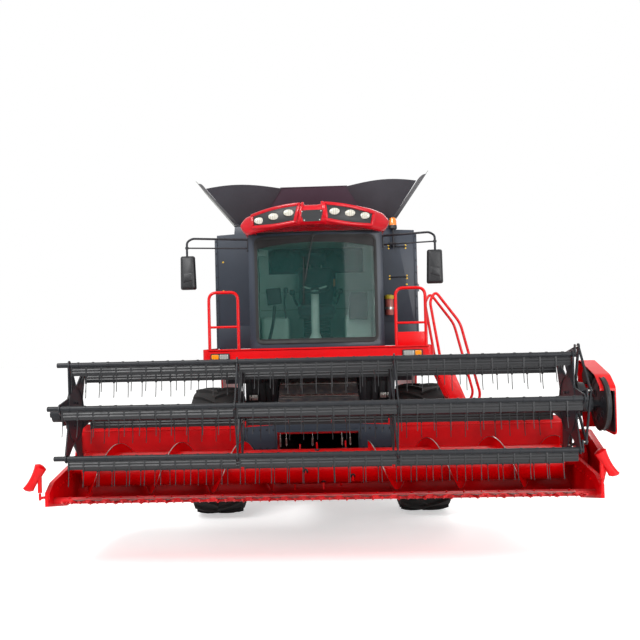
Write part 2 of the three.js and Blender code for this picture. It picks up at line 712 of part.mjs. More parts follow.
// Points along the line from a ram's foot to its eye.
function ramPoint(foot, eye, distance, x) {
  const length = Math.hypot(eye[0] - foot[0], eye[1] - foot[1]);
  const t = distance / length;
  return [x, foot[0] + (eye[0] - foot[0]) * t, foot[1] + (eye[1] - foot[1]) * t];
}

// A barrel bored for its rod, with a cross eye at its foot.
function ramBarrel(ram, x, radius, bore, eyeWide) {
  const at = (distance) => ramPoint(ram.foot, ram.eye, distance, x);
  return cut(
    join(
      rod(at(20), at(ram.barrel), radius, 12),
      rod([x - eyeWide, ...ram.foot], [x + eyeWide, ...ram.foot], radius * 0.9, 12),
    ),
    rod(at(ram.bore), at(ram.barrel + 50), bore, 12),
    rod([x - eyeWide - 5, ...ram.foot], [x + eyeWide + 5, ...ram.foot], ram.pinHole, 12),
  );
}

function ramRod(ram, x, radius, eyeRadius, eyeWide) {
  const length = Math.hypot(ram.eye[0] - ram.foot[0], ram.eye[1] - ram.foot[1]);
  const at = (distance) => ramPoint(ram.foot, ram.eye, distance, x);
  return join(
    rod(at(length - ram.rod), at(length), radius, 10),
    rod([x - eyeWide, ...ram.eye], [x + eyeWide, ...ram.eye], eyeRadius, 12),
  );
}

function liftBarrels() {
  const ram = { ...LIFT, bore: 300, pinHole: 12 };
  return join(
    ramBarrel(ram, LIFT.x, 52, 34, 50), ramBarrel(ram, -LIFT.x, 52, 34, 50),
    rod([-LIFT.x, ...LIFT.foot], [LIFT.x, ...LIFT.foot], 38, 12),
  );
}

function liftRods() {
  return join(
    ramRod(LIFT, LIFT.x, 28, 42, 34), ramRod(LIFT, -LIFT.x, 28, 42, 34),
    rod([-LIFT.x, ...LIFT.eye], [LIFT.x, ...LIFT.eye], 26, 12),
  );
}

add('feeder_house', feederHouse(), DARK_BLUE);
add('lift_barrels', liftBarrels(), BLACK);
add('lift_rods', liftRods(), STEEL);

// ---------------------------------------------------------------- header
const REEL_RAM = {
  foot: [-2010, 960], eye: [-2450, 1300], x: 2335, barrel: 420, rod: 400, bore: 130, pinHole: 14,
};

// The trough: floor sheet from the knife back under the auger, and up to the top beam.
function trough() {
  const outer = new THREE.Shape();
  outer.moveTo(-2700, 690);
  outer.lineTo(-2700, 640);
  outer.lineTo(-2380, 570);
  outer.lineTo(-1760, 540);
  outer.lineTo(-1760, 1150);
  outer.lineTo(-1700, 1150);
  outer.lineTo(-1700, 1250);
  outer.lineTo(-1800, 1250);
  outer.lineTo(-1800, 960);
  outer.absarc(AUGER.y, AUGER.z, 281, radians(16), radians(-112), true);
  outer.closePath();
  return alongX(outer, -HEADER.inner - 20, HEADER.inner + 20);
}

function endSheet(side) {
  const { half, inner } = HEADER;
  const sheet = alongX([
    [-2880, 640], [-2880, 760], [-2740, 830], [-2200, 900], [-1930, 900], [-1850, 1180], [-1720, 1180],
    [-1700, 1100], [-1700, 560], [-2300, 540],
  ], inner, half);
  const [pivotY, pivotZ] = [REEL_ARM.pivotY, REEL_ARM.pivotZ];
  const [footY, footZ] = REEL_RAM.foot;
  const armLugs = [2274, 2384].map((x) => block(x, x + 14, pivotY - 50, pivotY + 40, 1100, pivotZ + 44));
  const armPin = rod([2276, pivotY, pivotZ], [2396, pivotY, pivotZ], 18, 16);
  const ramLugs = [2288, 2368].map((x) => block(x, x + 14, footY - 50, footY + 50, 888, footZ + 44));
  const ramFoot = block(2288, inner + 5, footY - 50, footY + 50, 888, 915);
  const ramPin = rod([2290, footY, footZ], [2380, footY, footZ], 12, 10);
  // the rod that carries the folded crop divider
  const { x, lift } = side > 0 ? DIVIDER.left : DIVIDER.right;
  const carrier = join(
    rod([half - 10, -2850, 720], [x, -2890, 720], 12, 8),
    rod([x, -2890, 700], [x, -2890, 760 + lift], 12, 12),
  );
  return mirrored(join(sheet, ...armLugs, armPin, ...ramLugs, ramFoot, ramPin, carrier), side < 0);
}

// The cover over the knife and auger drives, outside the left end sheet on two cross tubes.
function driveCover() {
  const outline = [[-1900, 1130], [-2170, 1150], [-2620, 980], [-2640, 920], [-2430, 620], [-1900, 580]];
  const inset = [[-1914, 1114], [-2168, 1134], [-2602, 970], [-2620, 920], [-2422, 636], [-1914, 596]];
  const shell = cut(alongX(outline, 2490, 2545), alongX(inset, 2480, 2537));
  return join(
    shell,
    rod([HEADER.half - 10, -2040, 880], [2540, -2040, 880], 24, 10),
    rod([HEADER.half - 10, -2320, 760], [2540, -2320, 760], 24, 10),
    rod([2440, -2040, 880], [2500, -2040, 880], 150, 20),
    rod([2440, -2320, 760], [2500, -2320, 760], 70, 16),
  );
}

// The knife's guard fingers along the lip.
function guardFingers() {
  const pieces = [block(-2300, 2300, -2722, -2690, 646, 660)];
  for (let x = -2260; x <= 2261; x += 226) {
    pieces.push(around([
      [x - 14, -2715, 640], [x + 14, -2715, 640], [x - 14, -2715, 662], [x + 14, -2715, 662],
      [x - 3, -2850, 646], [x + 3, -2850, 646], [x - 3, -2850, 654], [x + 3, -2850, 654],
    ]));
  }
  return join(...pieces);
}

function headerBody() {
  const mouth = block(-400, 400, -1900, -1600, 640, 1120);
  // bearing stubs that the auger's shaft turns against
  const stubs = [-1, 1].map((s) => rod(
    [s * (AUGER.shaftEnd + FIT), AUGER.y, AUGER.z], [s * (HEADER.inner + 4), AUGER.y, AUGER.z], 40, 12));
  return join(cut(trough(), mouth), endSheet(1), endSheet(-1), driveCover(), guardFingers(), ...stubs);
}

function knife() {
  const teeth = [];
  for (let x = -2160; x <= 2161; x += 160) {
    teeth.push(alongZ([[x - 70, -2726], [x + 70, -2726], [x, -2800]], 668, 672));
  }
  return join(block(-2220, 2220, -2740, -2704, 668, 680), ...teeth);
}

// One hand of the auger: a ribbon that winds around the tube from x0 to x1, starting at first degrees.
function flight(x0, x1, hand, first) {
  const turns = Math.abs(x1 - x0) / AUGER.pitch;
  const steps = Math.ceil(turns * 12);
  const half = 5;
  const position = [];
  for (let i = 0; i <= steps; i += 1) {
    const x = x0 + ((x1 - x0) * i) / steps;
    const angle = radians(first) + hand * turns * 2 * Math.PI * (i / steps);
    for (const [radius, dx] of [[150, -half], [AUGER.flight, -half], [AUGER.flight, half], [150, half]]) {
      position.push(x + dx, AUGER.y + radius * Math.cos(angle), AUGER.z + radius * Math.sin(angle));
    }
  }
  const index = [];
  for (let i = 0; i < steps; i += 1) {
    for (let k = 0; k < 4; k += 1) {
      const [a, b] = [i * 4 + k, i * 4 + ((k + 1) % 4)];
      const [c, d] = [a + 4, b + 4];
      index.push(...(hand > 0 ? [a, c, b, b, c, d] : [a, b, c, b, d, c]));
    }
  }
  const last = steps * 4;
  index.push(...(hand > 0 ? [0, 1, 2, 0, 2, 3] : [0, 2, 1, 0, 3, 2]));
  index.push(...(hand > 0 ? [last, last + 2, last + 1, last, last + 3, last + 2]
    : [last, last + 1, last + 2, last, last + 2, last + 3]));
  const geometry = new THREE.BufferGeometry();
  geometry.setAttribute('position', new THREE.BufferAttribute(new Float32Array(position), 3));
  geometry.setIndex(index);
  const solid = toSolid(geometry);
  if (solid.volume() > 0) return geometry;
  for (let i = 0; i < index.length; i += 3) [index[i], index[i + 1]] = [index[i + 1], index[i]];
  geometry.setIndex(index);
  return geometry;
}

function headerAuger() {
  const { y, z, tube } = AUGER;
  const fingers = [];
  for (let i = 0; i < 8; i += 1) {
    const angle = radians(i * 137.5);
    const x = -330 + i * 94;
    fingers.push(rod([x, y, z], [x, y + 236 * Math.cos(angle), z + 236 * Math.sin(angle)], 9, 6));
  }
  return join(
    rod([-AUGER.half, y, z], [AUGER.half, y, z], tube, 16),
    rod([-AUGER.shaftEnd, y, z], [AUGER.shaftEnd, y, z], 34, 10),
    flight(-2260, -460, -1, 277), flight(460, 2260, 1, 104), ...fingers,
  );
}

// A half cone on a hanger that swings about the carrier rod.
function divider(side) {
  const { x, lift } = side > 0 ? DIVIDER.left : DIVIDER.right;
  const hanger = [x, -2890];
  const ring = [0, 45, 90, 135, 180, 225, 270, 315].map((degrees) => [
    x - 17 + 60 * Math.cos(radians(degrees)),
    -2890 + 60 * Math.sin(radians(degrees)),
    960 + lift - 22 * Math.cos(radians(degrees)),
  ]);
  const tip = [[-2925, 722], [-2885, 722], [-2905, 750]].map(([y, z]) => [x + 132, y, z + lift]);
  const cone = around([...ring, ...tip]);
  const sleeve = cut(
    rod([...hanger, 764 + lift], [...hanger, 940 + lift], 20, 14),
    rod([...hanger, 700], [...hanger, 770 + lift], 13, 12),
  );
  return mirrored(join(cone, sleeve), side < 0);
}

add('header_body', headerBody(), RED);
add('knife', knife(), STEEL);
add('header_auger', headerAuger(), RED);
add('crop_divider_left', divider(1), RED);
add('crop_divider_right', divider(-1), RED);

// ---------------------------------------------------------------- reel
const barAngle = (i) => radians(REEL.firstBar + (i * 360) / REEL.bars);
const barPlace = (i, radius = REEL.radius) => [
  REEL.y - radius * Math.cos(barAngle(i)), REEL.z + radius * Math.sin(barAngle(i))];

const BAR = { radius: 22, boss: 40, hole: 27 };

// A flat bar between two points of the reel's section.
function flatLink(from, to, x, half, thick) {
  const [dy, dz] = [to[0] - from[0], to[1] - from[1]];
  const length = Math.hypot(dy, dz);
  const [ny, nz] = [(-dz / length) * half, (dy / length) * half];
  return alongX([
    [from[0] + ny, from[1] + nz], [from[0] - ny, from[1] - nz],
    [to[0] - ny, to[1] - nz], [to[0] + ny, to[1] + nz],
  ], x - thick / 2, x + thick / 2);
}

function reelSpider(x) {
  const centre = [REEL.y, REEL.z];
  const isEnd = Math.abs(x) === REEL.disc;
  const pieces = [rod([x - 6, ...centre], [x + 6, ...centre], isEnd ? 260 : 110, 16)];
  for (let i = 0; i < REEL.bars; i += 1) {
    const place = barPlace(i);
    if (isEnd) {
      const turn = [Math.sin(barAngle(i)), Math.cos(barAngle(i))];
      const spread = ([py, pz], half) => [[py + turn[0] * half, pz + turn[1] * half],
        [py - turn[0] * half, pz - turn[1] * half]];
      const [a, b] = spread(barPlace(i, 80), 165);
      const [c, d] = spread(barPlace(i, REEL.radius), 38);
      pieces.push(alongX([a, b, d, c], x - 6, x + 6));
    } else {
      pieces.push(flatLink(barPlace(i, 60), place, x, 22, 12));
    }
    if (!isEnd) pieces.push(flatLink(place, barPlace((i + 1) % REEL.bars), x, 15, 12));
    pieces.push(rod([x - 6, ...place], [x + 6, ...place], BAR.boss, 8));
  }
  const holes = [];
  for (let i = 0; i < REEL.bars; i += 1) {
    holes.push(rod([x - 30, ...barPlace(i)], [x + 30, ...barPlace(i)], BAR.hole, 8));
  }
  return cut(join(...pieces), ...holes);
}

function reelRotor() {
  const centre = [REEL.y, REEL.z];
  return join(
    rod([-REEL.disc, ...centre], [REEL.disc, ...centre], 65, 12),
    rod([-2400, ...centre], [2480, ...centre], 30, 12),
    ...REEL.spiders.map(reelSpider),
    // belt pulley outside the left arm
    rod([2440, ...centre], [2474, ...centre], 232, 24),
  );
}

// Bar, comb strips between the spiders, fingers, and the crank at the left end.
function reelBar(i) {
  const [y, z] = barPlace(i);
  const strips = [];
  for (let s = 1; s < REEL.spiders.length; s += 1) {
    const [x0, x1] = [REEL.spiders[s - 1] + 14, REEL.spiders[s] - 14];
    strips.push(block(x0, x1, y - 4, y + 4, z - 92, z - 10));
    const count = Math.floor((x1 - x0 - 30) / REEL.tinePitch) + 1;
    const first = (x0 + x1 - (count - 1) * REEL.tinePitch) / 2;
    for (let k = 0; k < count; k += 1) {
      const x = first + k * REEL.tinePitch;
      strips.push(block(x - 3.5, x + 3.5, y - 3, y + 3, z - REEL.tineDrop, z - 80));
    }
  }
  const crankX = 2200;
  return join(
    rod([-2285, y, z], [crankX, y, z], BAR.radius, 10),
    ...strips,
    alongX([[y - 18, z - 24], [y + 18, z - 24], [y + 14, z + REEL.crank + 18], [y - 14, z + REEL.crank + 18]],
      crankX - 4, crankX + 8),
    rod([crankX, y, z + REEL.crank], [crankX + 46, y, z + REEL.crank], 10, 10),
  );
}

// The spider that keeps the bars upright turns about a point above the reel's shaft.
function controlSpider() {
  const x = 2232;
  const centre = [REEL.y, REEL.z + REEL.crank];
  const pieces = [rod([x - 7, ...centre], [x + 7, ...centre], 165, 20)];
  const holes = [rod([x - 20, ...centre], [x + 20, ...centre], 134, 20)];
  for (let i = 0; i < REEL.bars; i += 1) {
    const raise = ([y, z]) => [y, z + REEL.crank];
    pieces.push(flatLink(raise(barPlace(i, 145)), raise(barPlace(i)), x, 18, 14));
    pieces.push(flatLink(raise(barPlace(i)), raise(barPlace((i + 1) % REEL.bars)), x, 12, 14));
    pieces.push(rod([x - 7, ...raise(barPlace(i))], [x + 7, ...raise(barPlace(i))], 26, 8));
    holes.push(rod([x - 20, ...raise(barPlace(i))], [x + 20, ...raise(barPlace(i))], 13, 8));
  }
  return cut(join(...pieces), ...holes);
}

function reelArm(side) {
  const { x, half, pivotY, pivotZ } = REEL_ARM;
  const [eyeY, eyeZ] = REEL_RAM.eye;
  const beam = join(
    alongX([
      [pivotY + 10, pivotZ - 30], [pivotY + 10, pivotZ + 30], [REEL.y - 60, REEL.z + 62],
      [REEL.y - 60, REEL.z - 42], [REEL.y + 120, REEL.z - 62],
    ], x - half, x + half),
    rod([x - half, pivotY, pivotZ], [x + half, pivotY, pivotZ], 36, 18),
    rod([x - half, REEL.y, REEL.z], [x + half, REEL.y, REEL.z], 70, 20),
    ...[x - half, x + half - 12].map((edge) => (
      block(edge, edge + 12, eyeY - 45, eyeY + 45, eyeZ + 8, eyeZ + 90))),
  );
  const carrier = side > 0
    ? [rod([2226, REEL.y, REEL.z + REEL.crank], [x - half + 6, REEL.y, REEL.z + REEL.crank], 124, 26)]
    : [rod([-x + half - 4, REEL.y, REEL.z], [-x + half + 20, REEL.y, REEL.z], 60, 16)];
  const whole = side > 0 ? join(beam, ...carrier) : mirrored(beam, true);
  return cut(
    whole,
    rod([side * 2200, REEL.y, REEL.z], [side * 2500, REEL.y, REEL.z], 37, 18),
    rod([side * 2200, pivotY, pivotZ], [side * 2500, pivotY, pivotZ], 21, 18),
  );
}

// The outline of the belt cover: round the pulley, narrower at the motor behind it.
function beltCover(grow, x0, x1) {
  const points = [];
  for (const [y, z, radius] of [[REEL.y, REEL.z, 262], [-2420, 1650, 150]]) {
    for (let i = 0; i < 14; i += 1) {
      const angle = radians((i * 360) / 14);
      const r = radius + grow;
      points.push([x0, y + r * Math.cos(angle), z + r * Math.sin(angle)]);
      points.push([x1, y + r * Math.cos(angle), z + r * Math.sin(angle)]);
    }
  }
  return around(points);
}

function driveGuard() {
  const shell = cut(beltCover(0, 2400, 2545), beltCover(-14, 2380, 2533));
  const stay = block(REEL_ARM.x + REEL_ARM.half + FIT, 2424, -2420, -2380, 1376, 1416);
  const web = block(2402, 2424, -2420, -2290, 1376, 1600);
  const nose = block(2380, 2560, -3060, -2890, 1100, 1800);
  return join(cut(shell, nose), stay, web);
}

add('reel_rotor', reelRotor(), BLACK);
for (let i = 0; i < REEL.bars; i += 1) add(`reel_bar_${i + 1}`, reelBar(i), BLACK);
add('reel_control_spider', controlSpider(), BLACK);
add('reel_arm_left', reelArm(1), BLACK);
add('reel_arm_right', reelArm(-1), BLACK);
add('reel_drive_guard', driveGuard(), RED);
for (const [name, side] of [['left', 1], ['right', -1]]) {
  add(`reel_barrel_${name}`, mirrored(ramBarrel(REEL_RAM, REEL_RAM.x, 28, 17, 20), side < 0), BLACK);
  add(`reel_rod_${name}`, mirrored(ramRod(REEL_RAM, REEL_RAM.x, 12, 22, 14), side < 0), STEEL);
}

machine.position.y = FRONT_AXLE_Y;
const group = new THREE.Group();
group.add(machine);
export default group;
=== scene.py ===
# %% [markdown]
# # A combine harvester, dressed in Blender
# The machine's plain bodies come from a CAD model, already in metres and in their places.
# This lesson gives each of them a finish, and builds finer pieces over those that need more:
# tyres with lugs, combs with sprung tines, bent handrails, lamps, glass and a lined cab.
# Each step first says what the real thing is, then how it is made here.

# %% Open the frame
from math import atan2, cos, pi, radians, sin

import bmesh
import bpy
from mathutils import Matrix, Vector
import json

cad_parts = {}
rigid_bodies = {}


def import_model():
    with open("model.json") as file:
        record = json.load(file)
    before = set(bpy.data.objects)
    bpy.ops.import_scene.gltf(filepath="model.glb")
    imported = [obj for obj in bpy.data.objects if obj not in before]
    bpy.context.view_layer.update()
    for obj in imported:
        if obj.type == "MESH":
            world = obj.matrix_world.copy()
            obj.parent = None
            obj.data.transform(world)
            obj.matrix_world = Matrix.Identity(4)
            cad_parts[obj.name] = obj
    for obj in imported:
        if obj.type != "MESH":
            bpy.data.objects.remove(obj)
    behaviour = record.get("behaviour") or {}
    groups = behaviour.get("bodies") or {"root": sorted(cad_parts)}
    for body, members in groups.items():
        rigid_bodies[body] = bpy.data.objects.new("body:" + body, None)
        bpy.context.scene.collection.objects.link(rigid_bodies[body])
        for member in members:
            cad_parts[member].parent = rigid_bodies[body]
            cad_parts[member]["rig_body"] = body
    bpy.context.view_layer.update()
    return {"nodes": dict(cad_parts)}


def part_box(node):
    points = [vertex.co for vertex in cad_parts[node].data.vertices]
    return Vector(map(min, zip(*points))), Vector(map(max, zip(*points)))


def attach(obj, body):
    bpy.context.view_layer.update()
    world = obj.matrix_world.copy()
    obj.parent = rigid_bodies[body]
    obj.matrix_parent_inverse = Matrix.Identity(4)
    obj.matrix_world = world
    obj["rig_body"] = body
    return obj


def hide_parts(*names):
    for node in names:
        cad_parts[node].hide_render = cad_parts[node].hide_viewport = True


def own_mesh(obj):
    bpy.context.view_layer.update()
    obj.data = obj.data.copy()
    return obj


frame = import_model()
axle_low, axle_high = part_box("front_axle")
AXLE_Y = (axle_low.y + axle_high.y) / 2


def added(name, data):
    """A new object made of the data, put in the scene."""
    made = bpy.data.objects.new(name, data)
    bpy.context.scene.collection.objects.link(made)
    return made


# %% [markdown]
# ## The camera
# A visitor stands in front of the machine with a long lens, a little above the header's height.
# Yaw, pitch and roll are small, so the camera's three axes are worked out from them directly.

# %% Camera
CAMERA = {"place": (0.0118, AXLE_Y - 10.4631, 2.0724), "yaw": -0.0432, "pitch": 0.0211, "roll": 0.0239,
          "lens_mm": 48.94, "sensor_mm": 36, "shift": 0.062, "farthest": 100}


def camera_axes(yaw, pitch, roll):
    """The camera's right, up and forward directions in the frame."""
    forward = Vector((sin(yaw) * cos(pitch), cos(yaw) * cos(pitch), sin(pitch)))
    level = Vector((cos(yaw), -sin(yaw), 0))
    upright = level.cross(forward)
    right = level * cos(roll) - upright * sin(roll)
    up = level * sin(roll) + upright * cos(roll)
    return right, up, forward


right, up, forward = camera_axes(CAMERA["yaw"], CAMERA["pitch"], CAMERA["roll"])
camera_data = bpy.data.cameras.new("camera")
camera_data.lens = CAMERA["lens_mm"]
camera_data.sensor_width = CAMERA["sensor_mm"]
camera_data.shift_x = CAMERA["shift"]
camera_data.clip_end = CAMERA["farthest"]
camera = added("camera", camera_data)
axes = Matrix((right, up, -forward)).transposed().to_4x4()
camera.matrix_world = Matrix.Translation(Vector(CAMERA["place"])) @ axes
bpy.context.scene.camera = camera
bpy.context.scene.view_settings.view_transform = "Standard"
print("camera at", [round(v, 3) for v in camera.location])

# %% [markdown]
# ## Colours and nodes
# Colours are written as they look on a screen, so one function turns them to the linear values
# that a shader wants. The others add a node and join it to what feeds it.

# %% Small helpers


def linear(code):
    """A colour such as '#c8141a' as linear red, green, blue and alpha."""
    parts = [int(code[i:i + 2], 16) / 255 for i in (1, 3, 5)]
    return tuple(p / 12.92 if p <= 0.04045 else ((p + 0.055) / 1.055) ** 2.4 for p in parts) + (1.0,)


def toned(colour, share):
    """A colour made darker or lighter by one share."""
    return tuple(v * share for v in colour[:3]) + (1,)


def feed(tree, made, inputs):
    """Sets a node's inputs; another node's socket is linked, anything else is its value."""
    for socket, value in inputs.items():
        if isinstance(value, bpy.types.NodeSocket):
            tree.links.new(value, made.inputs[socket])
        else:
            made.inputs[socket].default_value = value


def node(tree, kind, inputs=None, **settings):
    """Adds a node with its settings, then feeds it."""
    made = tree.nodes.new(kind)
    for name, value in settings.items():
        setattr(made, name, value)
    feed(tree, made, inputs or {})
    return made


def new_finish(name):
    """An empty material with its shader, and the object coordinates its patterns are laid out in."""
    material = bpy.data.materials.new(name)
    material.use_nodes = True
    tree = material.node_tree
    shader = tree.nodes["Principled BSDF"]
    place = tree.nodes.new("ShaderNodeTexCoord").outputs["Object"]
    return material, tree, shader, place


def blended(tree, share, first, second):
    """A colour between two, by a share from 0 to 1."""
    return node(tree, "ShaderNodeMix", {0: share, 6: first, 7: second}, data_type="RGBA").outputs[2]


def ranged(tree, value, low, high, to_low=0.0, to_high=1.0):
    """Stretches low..high of a value to a new range, and holds it there."""
    inputs = {"Value": value, "From Min": low, "From Max": high, "To Min": to_low, "To Max": to_high}
    return node(tree, "ShaderNodeMapRange", inputs).outputs["Result"]


def grain(tree, place, period_mm, detail=2.0, rough=0.5):
    """Noise whose lumps are about one period across."""
    inputs = {"Vector": place, "Scale": 1000 / period_mm, "Detail": detail, "Roughness": rough}
    return node(tree, "ShaderNodeTexNoise", inputs).outputs["Fac"]


def bumped(tree, shader, height, depth_mm):
    """Raises the surface by height times the depth."""
    inputs = {"Height": height, "Distance": depth_mm / 1000, "Strength": 1.0}
    feed(tree, shader, {"Normal": node(tree, "ShaderNodeBump", inputs).outputs["Normal"]})


print("red enamel in linear light", [round(v, 3) for v in linear("#c8141a")[:3]])

# %% [markdown]
# ## Light and floor
# Soft light from a white sky, one broad lamp high in front, a weaker one low on the other side and
# one behind that lights the edges.
# The sky is full white to the camera and to glass and metal, and dimmer as a lamp.

# %% Sky, lamps and floor
world = bpy.data.worlds.new("studio")
world.use_nodes = True
bpy.context.scene.world = world
sky = world.node_tree
background = sky.nodes["Background"]
rays = sky.nodes.new("ShaderNodeLightPath").outputs
seen = node(sky, "ShaderNodeMath", {0: rays["Is Camera Ray"], 1: rays["Is Transmission Ray"]},
            operation="MAXIMUM")
seen = node(sky, "ShaderNodeMath", {0: seen.outputs[0], 1: rays["Is Glossy Ray"]}, operation="MAXIMUM")
strength = ranged(sky, seen.outputs[0], 0.0, 1.0, 0.6, 1.0)
background.inputs["Color"].default_value = (1, 1, 1, 1)
sky.links.new(strength, background.inputs["Strength"])


def lamp(name, place, target, size, power):
    """A square soft lamp that faces a point."""
    data = bpy.data.lights.new(name, "AREA")
    data.shape = "SQUARE"
    data.size = size
    data.energy = power
    made = added(name, data)
    made.location = place
    made.rotation_euler = (Vector(target) - Vector(place)).to_track_quat("-Z", "Y").to_euler()


lamp("key", (-4.5, -10, 9.5), (0, -2, 1.6), 5, 1150)
lamp("fill", (6.5, -11, 3.4), (0, -2, 1.2), 5, 560)
lamp("back", (3, 10, 8), (0, 1, 1.6), 6, 500)

floor_mesh = bpy.data.meshes.new("floor")
far = 60
floor_mesh.from_pydata([(-far, -far, 0), (far, -far, 0), (far, far, 0), (-far, far, 0)], [], [(0, 1, 2, 3)])
floor = added("floor", floor_mesh)
floor.location.z = -0.002
paper, tree, shader, place = new_finish("studio_floor")
seen = tree.nodes.new("ShaderNodeLightPath").outputs["Is Camera Ray"]
feed(tree, shader, {"Base Color": linear("#f6f6f5"), "Roughness": 0.85, "Emission Color": (1, 1, 1, 1),
                    "Emission Strength": ranged(tree, seen, 0, 1, 0, 0.5)})
floor_mesh.materials.append(paper)

# %% [markdown]
# ## Enamelled sheet steel
# Most of the machine is sheet steel with a sprayed acrylic enamel: a smooth film with faint
# orange peel, a little lighter where field dust settles on upward faces, and duller there.
# One recipe serves every colour; the film's gloss and the dust are what change.

# %% Enamel
DUST = linear("#8f7f6a")


def enamel(name, code, rough=0.28, dusty=0.35, shade=0.14, coat=0.08):
    """Sprayed enamel: orange peel about 3 mm across, drifts of tone over half a metre."""
    material, tree, shader, place = new_finish(name)
    base = linear(code)
    deep = toned(base, 1 - shade)
    drift = grain(tree, place, 480, 3)
    colour = blended(tree, ranged(tree, drift, 0.35, 0.65), base, deep)
    # dust on faces that look up, broken by a finer noise
    normal = node(tree, "ShaderNodeNewGeometry").outputs["Normal"]
    upward = node(tree, "ShaderNodeSeparateXYZ", {0: normal}).outputs["Z"]
    specks = ranged(tree, grain(tree, place, 55, 5, 0.7), 0.42, 0.72)
    level = ranged(tree, upward, 0.3, 1.0)
    film = node(tree, "ShaderNodeMath", {0: specks, 1: level}, operation="MULTIPLY").outputs[0]
    film = ranged(tree, film, 0.0, 1.0, 0.0, dusty)
    bumped(tree, shader, grain(tree, place, 6, 1), 0.015)
    feed(tree, shader, {"Base Color": blended(tree, film, colour, DUST),
                        "Roughness": ranged(tree, film, 0.0, 0.6, rough, 0.75), "Coat Weight": coat,
                        "Coat Roughness": 0.1, "Specular IOR Level": 0.3, "IOR": 1.45})
    return material


red_enamel = enamel("red_enamel_steel", "#d80008", 0.3, 0.08)
crimson_gelcoat = enamel("crimson_gelcoat_glass_fibre", "#bd0418", 0.25, 0.06, coat=0.2)
plum_enamel = enamel("dark_plum_enamel_sheet", "#463b46", 0.45, 0.1)
deep_red_enamel = enamel("dark_red_enamel_steel", "#8c0208", 0.36, 0.15)
blue_enamel = enamel("blue_grey_enamel_steel", "#333a45", 0.36, 0.12)
grey_enamel = enamel("light_grey_enamel_sheet", "#9a9d97", 0.42, 0.25)
black_enamel = enamel("black_chassis_enamel", "#232429", 0.42, 0.2, coat=0.05)
comb_enamel = enamel("dark_grey_reel_enamel", "#202226", 0.45, 0.08, coat=0.03)

# %% [markdown]
# ## Enamel worn by straw
# Crop slides over the header's lip and floor and strips the enamel: first thin scratches that run
# with the crop, then patches where the primer and brown steel show. Scratches are stretched noise.

# %% Worn enamel


def worn_enamel(name, code, bare, amount):
    """Enamel with patches worn to brown steel; scratches run front to back."""
    material, tree, shader, place = new_finish(name)
    base = linear(code)
    deep = toned(base, 0.72)
    colour = blended(tree, ranged(tree, grain(tree, place, 260, 4), 0.38, 0.66), base, deep)
    stretched = node(tree, "ShaderNodeMapping", {"Vector": place, "Scale": (1.0, 0.16, 0.5)}).outputs[0]
    scratches = ranged(tree, grain(tree, stretched, 9, 4, 0.75), 0.66 - amount * 0.2, 0.78)
    patches = ranged(tree, grain(tree, place, 34, 6, 0.8), 0.62 - amount * 0.16, 0.7)
    worn = node(tree, "ShaderNodeMath", {0: scratches, 1: patches}, operation="MAXIMUM").outputs[0]
    worn = ranged(tree, worn, 0, 1, 0, 0.4 + amount * 0.5)
    brown = blended(tree, grain(tree, place, 12, 4), linear(bare), linear("#5b4136"))
    bumped(tree, shader, worn, -0.12)
    feed(tree, shader, {"Base Color": blended(tree, worn, colour, brown), "Specular IOR Level": 0.22,
                        "Roughness": ranged(tree, worn, 0, 1, 0.34, 0.62)})
    return material


worn_red = worn_enamel("straw_worn_red_enamel", "#cf000a", "#8c1c1c", 0.05)
lip_red = worn_enamel("worn_through_lip_enamel", "#c8141c", "#b8604c", 0.5)

# %% [markdown]
# ## Rubber, plastics and bare metals
# Tyres are carbon-filled rubber: near black, matt, browned by soil in the hollows of the tread.
# Mirror shells and lamp cases are moulded with a fine leather-like grain. The rams' rods are
# chromed, the knife is hardened steel, and small screws are zinc plated and passivated yellow.

# %% Rubber and plastics


def moulded(name, code, rough, pit_mm, depth_mm, tint=None, spread=0.5):
    """A moulded surface with a pitted grain; tint is what settles in the hollows."""
    material, tree, shader, place = new_finish(name)
    base = linear(code)
    settled = linear(tint) if tint else toned(base, 1.5)
    cloud = ranged(tree, grain(tree, place, 130, 5, 0.7), 0.4, 0.75, 0, spread)
    pits = node(tree, "ShaderNodeTexVoronoi", {"Vector": place, "Scale": 1000 / pit_mm}).outputs["Distance"]
    bumped(tree, shader, pits, depth_mm)
    feed(tree, shader, {"Base Color": blended(tree, cloud, base, settled),
                        "Roughness": ranged(tree, cloud, 0, 1, rough, min(1, rough + 0.25))})
    return material


tyre_rubber = moulded("tyre_rubber", "#161617", 0.8, 5, 0.25, "#463c31", 0.2)
black_plastic = moulded("moulded_black_polypropylene", "#151619", 0.45, 2.2, 0.06)
seal_rubber = moulded("black_seal_rubber", "#0d0e0f", 0.6, 3, 0.05)
lining_abs = moulded("pale_green_lining_abs", "#bfe2d6", 0.6, 3, 0.08, "#a9cdc0")
filter_bowl = moulded("pink_filter_bowl", "#a85c54", 0.3, 9, 0.02)
yellow_cap = moulded("yellow_moulded_cap", "#b8a62c", 0.45, 3, 0.05)
tank_plastic = moulded("black_rotomoulded_tank", "#222427", 0.5, 8, 0.2)
spout_rubber = moulded("black_spout_rubber", "#202122", 0.7, 4, 0.15)


# %% Bare metals


def bare_metal(name, code, rough, streak_mm, stretch):
    """Metal with streaks left by grinding or drawing, stretched along one direction."""
    material, tree, shader, place = new_finish(name)
    run = node(tree, "ShaderNodeMapping", {"Vector": place, "Scale": stretch}).outputs[0]
    streaks = grain(tree, run, streak_mm, 3)
    base = linear(code)
    bumped(tree, shader, streaks, 0.02)
    colour = blended(tree, ranged(tree, streaks, 0.35, 0.7), base, toned(base, 0.7))
    feed(tree, shader, {"Metallic": 1.0, "Base Color": colour,
                        "Roughness": ranged(tree, streaks, 0.3, 0.7, rough * 0.8, rough * 1.3)})
    return material


